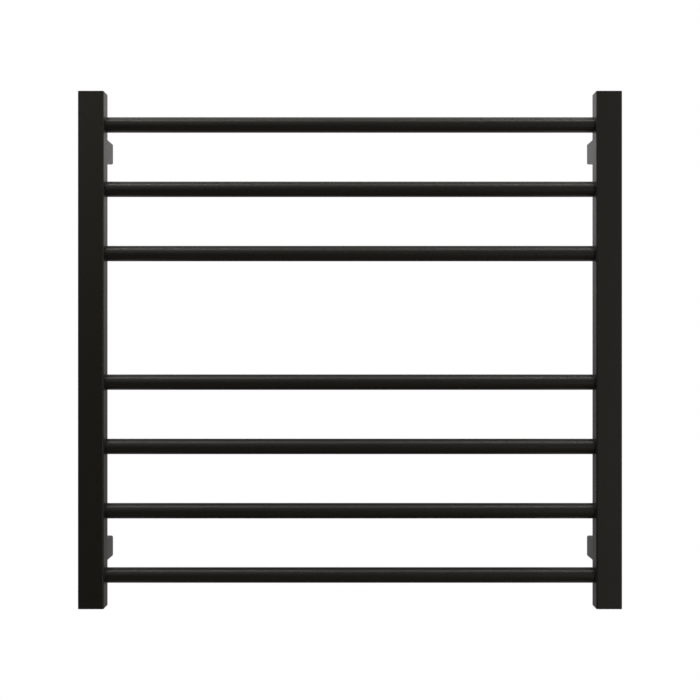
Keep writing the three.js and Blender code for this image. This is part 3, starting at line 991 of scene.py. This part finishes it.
class TOWELRACK_OT_wall_sockets(Operator):
    """Make the four cast sockets that the arms slide over"""

    bl_idname = "towel_rack.wall_sockets"
    bl_label = "Wall sockets"

    flange: FloatProperty(name="Flange", description="Thickness of the flange", default=2 * MM, unit="LENGTH")
    boss: FloatProperty(name="Boss", description="Side of the boss", default=20.6 * MM, unit="LENGTH")
    hollow: FloatProperty(name="Hollow", description="Side of the hollow", default=16.4 * MM, unit="LENGTH")
    floor: FloatProperty(name="Floor", description="Thickness of the floor", default=3 * MM, unit="LENGTH")
    screw_hole: FloatProperty(
        name="Screw hole", description="Hole for the wall screw", default=4.8 * MM, unit="LENGTH")
    cable_hole: FloatProperty(
        name="Cable hole", description="Hole for the supply cable", default=7.6 * MM, unit="LENGTH")
    groove: FloatProperty(
        name="Groove", description="Width of the set screw's groove", default=5.6 * MM, unit="LENGTH")

    def casting(self, plate, length):
        """A flange and a cup as one shape. The cup narrows slightly, as a casting does."""
        draft, rim = 0.1 * MM, 0.5 * MM
        boss, hollow, flange, floor = self.boss, self.hollow, self.flange, self.floor
        return Shape().loft([
            (rounded(plate - 0.6 * MM, plate - 0.6 * MM, 1.7 * MM, 0), 0.8),
            (rounded(plate, plate, 2 * MM, 0.3 * MM), 0.6),
            (rounded(plate, plate, 2 * MM, flange - 0.4 * MM), 0.6),
            (rounded(plate - 0.3 * MM, plate - 0.3 * MM, 1.9 * MM, flange - 0.1 * MM), 0.8),
            (rounded(plate - 0.8 * MM, plate - 0.8 * MM, 1.7 * MM, flange), 0.4),
            (rounded(boss + 0.3 * MM, boss + 0.3 * MM, 1.0 * MM, flange), 0.0),
            (rounded(boss + 0.1 * MM, boss + 0.1 * MM, 0.9 * MM, flange + 0.2 * MM), 0.0),
            (rounded(boss, boss, 0.9 * MM, flange + 0.7 * MM), corner_amounts()),
            (rounded(boss - draft, boss - draft, 0.9 * MM, length - rim), corner_amounts()),
            (rounded(boss - draft - rim, boss - draft - rim, 0.8 * MM, length - 0.1 * MM), 0.9),
            (rounded(boss - draft - 1.6 * rim, boss - draft - 1.6 * rim, 0.7 * MM, length), 0.8),
            (rounded(hollow + 2 * draft + rim, hollow + 2 * draft + rim, 0.8 * MM, length), 0.8),
            (rounded(hollow + 2 * draft, hollow + 2 * draft, 0.8 * MM, length - rim / 2), 0.4),
            (rounded(hollow, hollow, 0.8 * MM, floor + 0.8 * MM), 0.0),
            (rounded(hollow - 0.4 * MM, hollow - 0.4 * MM, 0.8 * MM, floor + 0.2 * MM), 0.0),
            (rounded(hollow - 1.6 * MM, hollow - 1.6 * MM, 0.8 * MM, floor), 0.0),
        ])

    def execute(self, context):
        for corner in CORNERS:
            node = f"{corner}_wall_socket"
            size, centre, back = extent(node), middle(node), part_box(node)[1].y
            mesh = self.casting(size.x, size.y).turned(INTO_ROOM, (centre.x, back, centre.z)).mesh(node)
            screw = middle(f"{corner}_wall_screw")
            bush = middle("cable_bush").z - middle("lower_left_wall_socket").z
            groove_start = self.floor + self.flange
            cutters = [
                drill(self.screw_hole, 0, 2 * self.floor).turned(INTO_ROOM, (centre.x, back, screw.z)),
                drill(self.cable_hole, 0, 2 * self.floor, mouth=0.3 * MM).turned(
                    INTO_ROOM, (centre.x, back, centre.z + bush)),
                slab(self.groove, 2 * MM, groove_start, 2 * size.y, radius=0.4 * MM).turned(
                    INTO_ROOM, (centre.x, back, centre.z - self.boss / 2)),
            ]
            finish_piece(cut(mesh, *cutters), f"{node}_casting", "wall_fixings", "black_casting", node)
        return {"FINISHED"}


class TOWELRACK_OT_set_screws(Operator):
    """Make the four set screws that clamp the arms on their sockets"""

    bl_idname = "towel_rack.set_screws"
    bl_label = "Set screws"

    key: FloatProperty(name="Key", description="Hexagon across flats", default=2 * MM, unit="LENGTH")
    key_depth: FloatProperty(
        name="Key depth", description="Depth of the hexagon", default=1.6 * MM, unit="LENGTH")

    def execute(self, context):
        size = extent("upper_left_set_screw")
        rod = threaded_rod(
            "set_screw", "black_steel", diameter=size.x, depth=0.42 * MM, pitch=sizes().set_screw_pitch,
            length=size.z, tip=0.6 * MM, tip_diameter=2.7 * MM, run_in=0.5 * MM, rows=72)
        across_corners = self.key / math.cos(math.pi / 6)
        mouth = 0.3 * MM
        off_line = Matrix.Rotation(math.radians(4), 3, "Z")  # so no corner lies on a line of the rod
        hexagon = Shape().loft([
            (circle(across_corners, along, sides=6), 0.0) for along in (-mouth, self.key_depth)
        ]).turned(off_line)
        cone = lathe([
            (across_corners + 4 * mouth, -mouth, 0.8), (across_corners - mouth, 1.5 * mouth, 0.4)])
        drill_point = lathe([
            (self.key * 0.94, self.key_depth - 0.1 * MM, 0.0), (0.1 * MM, self.key_depth + 0.5 * MM, 0.0)])
        keyed = cut(rod, hexagon, cone, drill_point)
        for corner in CORNERS:
            node = f"{corner}_set_screw"
            place = (middle(node).x, middle(node).y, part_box(node)[0].z)
            mesh = placed(keyed, UP, place, node)
            finish_piece(mesh, f"{node}_threaded", f"{node}_body", "black_steel", node)
        bpy.data.meshes.remove(keyed)
        return {"FINISHED"}


class TOWELRACK_OT_wall_screws(Operator):
    """Make the four round-headed wood screws that hold the sockets to the wall"""

    bl_idname = "towel_rack.wall_screws"
    bl_label = "Wall screws"

    shank: FloatProperty(name="Shank", description="Over the thread", default=4 * MM, unit="LENGTH")
    head_height: FloatProperty(
        name="Head height", description="Height of the domed head", default=2.6 * MM, unit="LENGTH")
    point: FloatProperty(name="Point", description="Length of the point", default=8 * MM, unit="LENGTH")
    recess: FloatProperty(
        name="Recess", description="Span of the cross recess", default=4.4 * MM, unit="LENGTH")

    def execute(self, context):
        size = extent("upper_left_wall_screw")
        head, height = size.x, self.head_height
        length = size.y - height
        dome = [0.04, 0.22, 0.42, 0.62, 0.8, 0.92, 1.0]
        profile = [(head * r, -height * math.sqrt(1 - r * r) * 0.9 - 0.1 * height, 0.3) for r in dome]
        profile += [(head, -0.05 * height, 0.8), (head - 0.3 * MM, 0, 0.5)]
        head_mesh = lathe(profile, sides=64).mesh("wall_screw_head")
        shank = threaded_rod(
            "wall_screw", "zinc_steel", diameter=self.shank, depth=0.75 * MM,
            pitch=sizes().wall_screw_pitch, length=length + 0.4 * MM, tip=self.point,
            tip_diameter=0.3 * MM, run_in=3 * MM, rows=320, sides=32)
        shank.transform(Matrix.Translation((0, 0, -0.4 * MM)))
        whole = joined(head_mesh, shank)
        deep = height * 0.72
        slots = [
            slab(w, h, -height - 0.1 * MM, deep - height, radius=0.2 * MM, narrowing=0.25 * MM)
            for w, h in ((self.recess, 1.1 * MM), (1.1 * MM, self.recess))
        ]
        whole = cut(whole, *slots)
        for corner in CORNERS:
            node = f"{corner}_wall_screw"
            place = (middle(node).x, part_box(node)[0].y + height, middle(node).z)
            finish_piece(
                placed(whole, INTO_WALL, place, node), f"{node}_threaded", "wall_fixings", "zinc_steel", node)
        bpy.data.meshes.remove(whole)
        return {"FINISHED"}


class TOWELRACK_OT_wall_plugs(Operator):
    """Make the four ribbed nylon plugs that grip the wall"""

    bl_idname = "towel_rack.wall_plugs"
    bl_label = "Wall plugs"

    bore: FloatProperty(name="Bore", description="Bore at the mouth", default=4.6 * MM, unit="LENGTH")
    rib: FloatProperty(name="Rib pitch", description="From rib to rib", default=2.5 * MM, unit="LENGTH")
    slit: FloatProperty(name="Slit", description="Width of the slits", default=0.7 * MM, unit="LENGTH")

    def execute(self, context):
        size = extent("upper_left_wall_plug")
        length, diameter = size.y, size.x
        sleeve = threaded_rod(
            "wall_plug", "grey_nylon", diameter=diameter, depth=0.55 * MM, pitch=self.rib, length=length,
            starts=0.0, slope=0.88, tip=4 * MM, tip_diameter=5.4 * MM, run_in=4 * MM, rows=240, sides=48)
        fins = [
            slab(0.8 * MM, diameter + 0.9 * MM, 1 * MM, 11 * MM, radius=0.08 * MM, narrowing=0.25 * MM)
            .turned(Matrix.Rotation(angle, 3, "Z"))
            for angle in (math.pi / 4, -math.pi / 4)
        ]
        sleeve = joined(sleeve, *fins)
        bore = lathe([
            (self.bore + 1 * MM, -0.1 * MM, 0.4), (self.bore, 0.5 * MM, 0.3), (self.bore, 14 * MM, 0.0),
            (self.bore * 0.72, length + 1 * MM, 0.0)])
        slits = [
            slab(w, h, 9 * MM, length + 1 * MM, radius=0.2 * MM)
            for w, h in ((self.slit, 2 * diameter), (2 * diameter, self.slit))
        ]
        sleeve = cut(sleeve, bore, *slits)
        for corner in CORNERS:
            node = f"{corner}_wall_plug"
            place = (middle(node).x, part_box(node)[0].y, middle(node).z)
            finish_piece(
                placed(sleeve, INTO_WALL, place, node), f"{node}_ribbed", "wall_fixings", "grey_nylon", node)
        bpy.data.meshes.remove(sleeve)
        return {"FINISHED"}


class TOWELRACK_OT_cable_bush(Operator):
    """Make the rubber bush that guards the supply cable at the wall"""

    bl_idname = "towel_rack.cable_bush"
    bl_label = "Cable bush"

    bore: FloatProperty(name="Bore", description="Bore for the cable", default=6.2 * MM, unit="LENGTH")
    collar: FloatProperty(name="Collar", description="Height of the collar", default=1.2 * MM, unit="LENGTH")
    neck: FloatProperty(name="Neck", description="Diameter of the neck", default=7.4 * MM, unit="LENGTH")

    def execute(self, context):
        node = "cable_bush"
        size, centre = extent(node), middle(node)
        wide, bore, neck = size.x, self.bore, self.neck
        collar, end = self.collar, size.y - self.collar
        lip = 0.35 * MM
        profile = [
            (bore, lip - collar, 0.2), (bore + lip, 0.3 * lip - collar, 0.5), (bore + 2 * lip, -collar, 0.6),
            (wide - 2 * lip, -collar, 0.6), (wide - lip, 0.3 * lip - collar, 0.8), (wide, lip - collar, 0.8),
            (wide, -lip, 0.8), (wide - 0.6 * lip, -0.2 * lip, 0.6), (wide - 1.2 * lip, 0, 0.2),
            (neck, 0, 0.0), (neck, end - lip, 0.3), (neck - lip, end, 0.6),
            (bore + lip, end, 0.6), (bore, end - lip, 0.3),
        ]
        place = (centre.x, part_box(node)[0].y + collar, centre.z)
        mesh = lathe(profile, closed=True).turned(INTO_WALL, place).mesh(node)
        finish_piece(mesh, "cable_bush_ring", "wall_fixings", "black_rubber", node, sharp=50)
        return {"FINISHED"}


# ------------------------------------------------------------------ electrical pieces


class TOWELRACK_OT_terminal_block(Operator):
    """Make the ceramic terminal block and its four screws"""

    bl_idname = "towel_rack.terminal_block"
    bl_label = "Terminal block"

    pole_bore: FloatProperty(name="Pole bore", description="Bore of a pole", default=3 * MM, unit="LENGTH")
    pole_height: FloatProperty(
        name="Pole height", description="From the base up to the bores", default=7.8 * MM, unit="LENGTH")
    screw_hole: FloatProperty(
        name="Screw hole", description="Hole down to a pole", default=2.8 * MM, unit="LENGTH")
    slot: FloatProperty(name="Slot", description="Width of a screw's slot", default=0.5 * MM, unit="LENGTH")

    def block(self, screws):
        node = "terminal_block"
        low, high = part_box(node)
        centre, size = middle(node), extent(node)
        corner, soft = 1.2 * MM, 0.4 * MM

        def ring(inset, along, amount):
            return rounded(size.x - 2 * inset, size.z - 2 * inset, corner - inset, along), amount

        rings = [
            ring(soft, 0, 0.9), ring(soft / 4, soft / 4, 1.0), ring(0, soft, corner_amounts()),
            ring(0, size.y - soft, corner_amounts()), ring(soft / 4, size.y - soft / 4, 1.0),
            ring(soft, size.y, 0.9),
        ]
        shape = Shape().loft(rings).turned(INTO_ROOM, (centre.x, high.y, centre.z))
        pole_z = low.z + self.pole_height
        cutters = [
            drill(self.pole_bore, 0, size.y * 1.2, mouth=0.3 * MM).turned(INTO_ROOM, (x, high.y, pole_z))
            for x in sorted({round(middle(screw).x, 6) for screw in screws})
        ]
        cutters += [
            drill(self.screw_hole, 0, high.z - pole_z, mouth=0.2 * MM).turned(
                DOWN, (middle(screw).x, middle(screw).y, high.z))
            for screw in screws
        ]
        groove = slab(1.4 * MM, size.y * 1.2, 0, 1.6 * MM, radius=0.3 * MM, narrowing=0.1 * MM)
        cutters.append(groove.turned(DOWN, (centre.x, centre.y, high.z + 0.1 * MM)))
        finish_piece(cut(shape.mesh(node), *cutters), "terminal_block_body", "rack", "white_ceramic", node)

    def execute(self, context):
        screws = [f"terminal_screw_{number}" for number in range(1, 5)]
        self.block(screws)
        size = extent(screws[0])
        rod = threaded_rod(
            "terminal_screw", "brass", diameter=size.x, depth=0.22 * MM, pitch=0.45 * MM, length=size.z,
            tip=0.4 * MM, tip_diameter=1.8 * MM, run_in=1.1 * MM, rows=64, sides=36)
        slotted = cut(rod, slab(2 * size.x, self.slot, -0.1 * MM, 0.6 * MM, radius=0.05 * MM))
        for turn, node in enumerate(screws):
            basis = DOWN @ Matrix.Rotation(0.7 * turn, 3, "Z")
            place = (middle(node).x, middle(node).y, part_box(node)[1].z)
            finish_piece(placed(slotted, basis, place, node), f"{node}_slotted", "rack", "brass", node)
        bpy.data.meshes.remove(slotted)
        return {"FINISHED"}


class TOWELRACK_OT_earth_tab(Operator):
    """Make the bent brass tab for the earth wire"""

    bl_idname = "towel_rack.earth_tab"
    bl_label = "Earth tab"

    thickness: FloatProperty(name="Thickness", description="Of the sheet", default=0.8 * MM, unit="LENGTH")
    foot: FloatProperty(name="Foot", description="Length of the foot", default=6 * MM, unit="LENGTH")
    lock_hole: FloatProperty(
        name="Lock hole", description="Hole that a push-on sleeve snaps into", default=1.6 * MM,
        unit="LENGTH")

    def execute(self, context):
        node = "earth_tab"
        low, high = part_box(node)
        t, width = self.thickness, high.x - low.x
        top, bottom = high.z - t / 2, low.z + t / 2
        riser = low.y + self.foot - t / 2
        bend = 0.6 * t
        line = [(low.y, top), (riser - bend, top)]
        line += [(riser - bend + bend * math.sin(a), top - bend + bend * math.cos(a)) for a in
                 (math.pi / 8 * step for step in range(1, 5))]
        line += [(riser + bend - bend * math.cos(a), bottom + bend - bend * math.sin(a)) for a in
                 (math.pi / 8 * step for step in range(5))]
        line += [(high.y - 1.2 * t, bottom), (high.y, bottom)]
        rings = []
        for i, (y, z) in enumerate(line):
            before, after = Vector(line[max(0, i - 1)]), Vector(line[min(len(line) - 1, i + 1)])
            way = (after - before).normalized()
            at_tip = i == len(line) - 1
            narrow, thin = (1.4 * t, 0.5) if at_tip else (0, 1)
            flat = rounded(width - narrow, t * thin, 0.15 * t, 0)
            section = [(middle(node).x + x, y - way.y * h, z + way.x * h) for x, h, _ in flat]
            rings.append((section, corner_amounts()))
        hole = drill(self.lock_hole, -t, t).turned(UP, (middle(node).x, high.y - 3.4 * MM, bottom))
        finish_piece(cut(Shape().loft(rings).mesh(node), hole), "earth_tab_bent", "rack", "brass", node)
        return {"FINISHED"}


class TOWELRACK_OT_cables(Operator):
    """Make the lead and the heating cable that runs through all the bars"""

    bl_idname = "towel_rack.cables"
    bl_label = "Cables"

    heating: FloatProperty(
        name="Heating cable", description="Diameter of the heating cable", default=4 * MM, unit="LENGTH")

    def cable(self, node, slot, diameter, corners):
        edges = [(i, i + 1) for i in range(len(corners) - 1)]
        mesh = grown(
            cable_tree, points_mesh(node, corners, edges=edges), PALETTE[slot], diameter=diameter,
            bend_radius=sizes().bend_radius)
        finish_piece(mesh, f"{node}_sheath", "rack", slot, node, sharp=60)

    def execute(self, context):
        y = middle("bar_1").y
        joint_low, joint_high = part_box("cold_joint")
        low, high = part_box("heating_cable_lower")
        lowest = low.z + self.heating / 2
        drop = middle("bar_7").z - lowest
        right, left = high.x - self.heating / 2, low.x + self.heating / 2
        heights = {bar: middle(bar).z - drop for bar in BARS}
        limiter_low, limiter_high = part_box("heat_limiter")

        lower = [(joint_high.x + FIT_GAP, y, lowest)]
        upper = [(left, y, limiter_high.z + FIT_GAP)]
        for bar, ends in (("bar_7", (None, right)), ("bar_6", (right, left)), ("bar_5", (left, right)),
                          ("bar_4", (right, left))):
            lower += [(x, y, heights[bar]) for x in ends if x is not None]
        lower.append((left, y, limiter_low.z - FIT_GAP))
        for bar, ends in (("bar_3", (left, right)), ("bar_2", (right, left)), ("bar_1", (left, right))):
            upper += [(x, y, heights[bar]) for x in ends]
        upper.append((right, y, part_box("cable_end_seal")[1].z + FIT_GAP))
        self.cable("heating_cable_lower", "red_silicone", self.heating, lower)
        self.cable("heating_cable_upper", "red_silicone", self.heating, upper)

        post = middle("left_post")
        block_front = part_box("terminal_block")[0].y
        lead_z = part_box("cold_lead")[1].z - sizes().lead / 2
        self.cable("cold_lead", "black_silicone", sizes().lead, [
            (post.x, block_front - FIT_GAP, lead_z), (post.x, post.y, lead_z), (post.x, post.y, lowest),
            (joint_low.x - FIT_GAP, post.y, lowest),
        ])
        return {"FINISHED"}


class TOWELRACK_OT_sleeves(Operator):
    """Make the cold joint, the heat limiter and the cable's end seal, each in shrink sleeve"""

    bl_idname = "towel_rack.sleeves"
    bl_label = "Sleeves"

    grip: FloatProperty(
        name="Grip", description="Length over which a sleeve grips the cable", default=3 * MM, unit="LENGTH")

    def execute(self, context):
        self.cold_joint()
        self.heat_limiter()
        self.end_seal()
        return {"FINISHED"}

    def cold_joint(self):
        node = "cold_joint"
        low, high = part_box(node)
        wide, length, grip = extent(node).z, high.x - low.x, self.grip
        half = [(5.3 * MM, 0, 0.6), (5.5 * MM, 0.6 * grip, 0.2), (0.94 * wide, grip, 0.2),
                (wide, 1.4 * grip, 0.1), (wide, 0.36 * length, 0.0), (0.93 * wide, 0.42 * length, 0.1)]
        profile = half + [(d, length - along, amount) for d, along, amount in reversed(half)]
        shape = lathe(profile, sides=40).turned(ALONG_X, (low.x, middle(node).y, middle(node).z))
        finish_piece(shape.mesh(node), "cold_joint_sleeve", "rack", "shrink_sleeve", node, sharp=60)

    def heat_limiter(self):
        node = "heat_limiter"
        low, size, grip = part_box(node)[0], extent(node), self.grip
        ends = [(4.5 * MM, 4.5 * MM, 2.2 * MM, 0), (4.8 * MM, 4.6 * MM, 2.2 * MM, 0.6 * grip),
                (0.9 * size.x, 0.92 * size.y, 2.2 * MM, 1.2 * grip), (size.x, size.y, 2.2 * MM, 1.7 * grip)]
        ends += [(w, h, r, size.z - along) for w, h, r, along in reversed(ends)]
        rings = [(rounded(w, h, min(r, h / 2, w / 2) * FULL_ROUND, along), 0.1) for w, h, r, along in ends]
        shape = Shape().loft(rings).turned(UP, (middle(node).x, middle(node).y, low.z))
        finish_piece(shape.mesh(node), "heat_limiter_sleeve", "rack", "shrink_sleeve", node, sharp=60)

    def end_seal(self):
        node = "cable_end_seal"
        low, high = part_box(node)
        wide, length, grip = extent(node).x, high.z - low.z, self.grip
        stations = [(4.4 * MM, 4.4 * MM, 0), (4.7 * MM, 4.7 * MM, 0.6 * grip), (wide, wide, 1.5 * grip),
                    (wide, wide, 0.55 * length), (wide, 0.55 * wide, 0.7 * length),
                    (wide, 0.28 * wide, 0.8 * length), (wide, 0.26 * wide, length)]
        rings = [(rounded(w, h, min(w, h) / 2 * FULL_ROUND, along), 0.1) for w, h, along in stations]
        shape = Shape().loft(rings).turned(DOWN, (middle(node).x, middle(node).y, high.z))
        finish_piece(shape.mesh(node), "cable_end_seal_sleeve", "rack", "shrink_sleeve", node, sharp=60)


# ------------------------------------------------------------------ stage


class TOWELRACK_OT_stage(Operator):
    """Make the camera, the soft lights and the floor"""

    bl_idname = "towel_rack.stage"
    bl_label = "Stage"

    def camera(self, front, centre):
        data = bpy.data.cameras.new("front_view")
        data.sensor_width = 36.0
        data.lens = data.sensor_width * studio().camera_distance / studio().view_width
        camera = bpy.data.objects.new("front_view", data)
        camera.location = (centre.x, front - studio().camera_distance, centre.z)
        camera.rotation_euler = (math.pi / 2, 0, 0)
        bpy.context.scene.collection.objects.link(camera)
        bpy.context.scene.camera = camera

    def soft_light(self, name, place, aim, width, depth, power, colour):
        data = bpy.data.lights.new(name, "AREA")
        data.shape = "RECTANGLE"
        data.size, data.size_y = width, depth
        data.energy = power
        data.color = colour
        light = bpy.data.objects.new(name, data)
        light.location = place
        light.rotation_euler = (aim - place).to_track_quat("-Z", "Y").to_euler()
        light.visible_camera = False
        bpy.context.scene.collection.objects.link(light)

    def surroundings(self):
        """White to the eye; to the rack, a dim room."""
        world = bpy.data.worlds.new("studio")
        world.use_nodes = True
        work = Work(world.node_tree)
        work.tree.nodes.clear()
        lit = work.add(
            "ShaderNodeBackground", sockets={"Color": (1, 0.985, 0.96, 1), "Strength": studio().room_light})
        seen = work.add("ShaderNodeBackground", sockets={"Color": (1, 1, 1, 1), "Strength": 1.0})
        eye = work.add("ShaderNodeLightPath")["Is Camera Ray"]
        both = work.add("ShaderNodeMixShader", sockets={0: eye, 1: lit[0], 2: seen[0]})
        work.add("ShaderNodeOutputWorld", sockets={"Surface": both[0]})
        bpy.context.scene.world = world

    def panel(self, name, corners, material):
        mesh = bpy.data.meshes.new(name)
        mesh.from_pydata(corners, [], [(0, 1, 2, 3)])
        mesh.materials.append(material)
        thing = show(mesh, name)
        return thing

    def wall_card(self):
        """A reflector card in the wall's place, brighter upwards and behind the posts. Only the rack
        sees it."""
        work = Finish("card")
        x, _, z = work.split(work.place)
        reach, behind = 1.4, 1.5 * MM  # from the middle to an edge, and into the wall from its face
        glow_reach, glow = 80 * MM, 0.185  # the brighter stretch behind each post
        stops = [((height + reach) / (2 * reach), level) for height, level in (
            (-0.4, 0.07), (-0.1, 0.047), (0.08, 0.105), (0.2, 0.21), (0.35, 0.3), (0.5, 0.8), (0.75, 0.4),
        )]
        upwards = work.ramp((z + reach) / (2 * reach), *stops)
        off_post = x.math("ABSOLUTE", x) - middle("right_post").x
        beside = (1 - off_post.math("ABSOLUTE", off_post) / glow_reach).at_least(0.0) * glow
        tone = work.tint(upwards + beside, (0, 0, 0), (1, 0.985, 0.965))
        glow = work.add(
            "ShaderNodeEmission",
            sockets={"Color": tone, "Strength": 2 * studio().card_light})
        work.add("ShaderNodeOutputMaterial", sockets={"Surface": glow[0]})
        ways = ((-1, -1), (1, -1), (1, 1), (-1, 1))
        corners = [(across * reach, behind, up * reach) for across, up in ways]
        card = self.panel("wall_card", corners, work.material)
        card.visible_camera = False
        card.visible_shadow = False

    def floor(self, centre):
        work = Finish("pale_floor")
        cloud = work.noise(0.5, detail=3)
        tone = work.tint(cloud, (0.78, 0.78, 0.77), (0.84, 0.84, 0.83))
        work.surface(base_color=tone, roughness=0.8, emission_color=(1, 1, 1, 1), emission_strength=0.75)
        z = centre.z - studio().floor_drop
        reach, far = 4.0, 2.4  # to its left, right and front edges, and to its back edge
        corners = [(-reach, -reach, z), (reach, -reach, z), (reach, far, z), (-reach, far, z)]
        floor = self.panel("floor", corners, work.material)
        floor.visible_diffuse = False
        floor.visible_glossy = False

    def lights(self, centre):
        """Soft lights, placed from the wall's face at the rack's mid height. Those over the rack
        point straight down, and the others at its middle."""
        top, front = studio().top_light, studio().front_light
        side, back = studio().side_light, studio().back_light
        warm, neutral = (1, 0.94, 0.82), (1, 0.98, 0.95)
        mid_height = Vector((0, 0, centre.z))
        for name, place, width, depth, power in (
            ("top_left", (-0.62, -0.75, 1.8), 0.6, 0.4, top),
            ("top_right", (0.62, -0.75, 1.8), 0.6, 0.4, top),
            ("front_upper_left", (-0.9, -2.0, 0.9), 0.8, 0.8, front * 0.3),
            ("front_upper_right", (0.9, -2.0, 0.9), 0.8, 0.8, front * 0.12),
            ("front_right", (1.1, -2.0, 0.1), 1.0, 0.8, front * 0.15),
            ("front_lower_right", (1.1, -2.0, -0.6), 1.0, 0.8, front * 0.29),
            ("front_low", (0.0, -1.0, -1.3), 2.0, 1.0, front * 0.14),
            ("side_left", (-1.6, -0.6, 0.0), 1.2, 1.2, side * 0.15),
            ("side_right", (1.6, -0.6, 0.0), 1.2, 1.2, side * 0.85),
            ("back_left", (-1.9, 1.5, 1.0), 1.2, 1.2, back),
            ("back_right", (1.9, 1.5, 0.2), 1.2, 1.2, back * 0.5),
        ):
            aim = Vector((*place[:2], 0)) if name.startswith("top") else Vector((0, centre.y, 0))
            tone = warm if name.startswith("front") else neutral
            start, target = Vector(place) + mid_height, aim + mid_height
            self.soft_light(name, start, target, width, depth, power, tone)

    def execute(self, context):
        centre = (middle("left_post") + middle("right_post")) / 2
        self.camera(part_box("left_post")[0].y, centre)
        self.surroundings()
        self.wall_card()
        self.floor(centre)
        self.lights(centre)
        context.scene.view_settings.view_transform = "Standard"
        return {"FINISHED"}


# ------------------------------------------------------------------ panel and registration

SETTINGS = {
    "towel_rack_sizes": TowelRackSizes,
    "towel_rack_colours": TowelRackColours,
    "towel_rack_studio": TowelRackStudio,
}

OPERATORS = (
    TOWELRACK_OT_stage,
    TOWELRACK_OT_posts,
    TOWELRACK_OT_end_caps,
    TOWELRACK_OT_bars,
    TOWELRACK_OT_arms,
    TOWELRACK_OT_welds,
    TOWELRACK_OT_wall_sockets,
    TOWELRACK_OT_set_screws,
    TOWELRACK_OT_wall_screws,
    TOWELRACK_OT_wall_plugs,
    TOWELRACK_OT_cable_bush,
    TOWELRACK_OT_terminal_block,
    TOWELRACK_OT_earth_tab,
    TOWELRACK_OT_cables,
    TOWELRACK_OT_sleeves,
)


class TOWELRACK_PT_make(Panel):
    """The pieces of the towel warmer and their settings"""

    bl_idname = "TOWELRACK_PT_make"
    bl_label = "Towel Warmer"
    bl_space_type = "VIEW_3D"
    bl_region_type = "UI"
    bl_category = "Towel Warmer"

    def draw(self, context):
        for operator in OPERATORS:
            self.layout.operator(operator.bl_idname)
        for name, group in SETTINGS.items():
            box = self.layout.box()
            for prop in group.__annotations__:
                box.prop(getattr(context.scene, name), prop)


CLASSES = (*SETTINGS.values(), *OPERATORS, TOWELRACK_PT_make)


def register():
    for made in CLASSES:
        bpy.utils.register_class(made)
    for name, group in SETTINGS.items():
        setattr(bpy.types.Scene, name, PointerProperty(type=group))


def unregister():
    for name in SETTINGS:
        delattr(bpy.types.Scene, name)
    for made in reversed(CLASSES):
        bpy.utils.unregister_class(made)


def main():
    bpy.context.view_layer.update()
    register()
    for operator in OPERATORS:
        getattr(bpy.ops.towel_rack, operator.bl_idname.split(".")[1])()


if __name__ == "__main__":
    main()
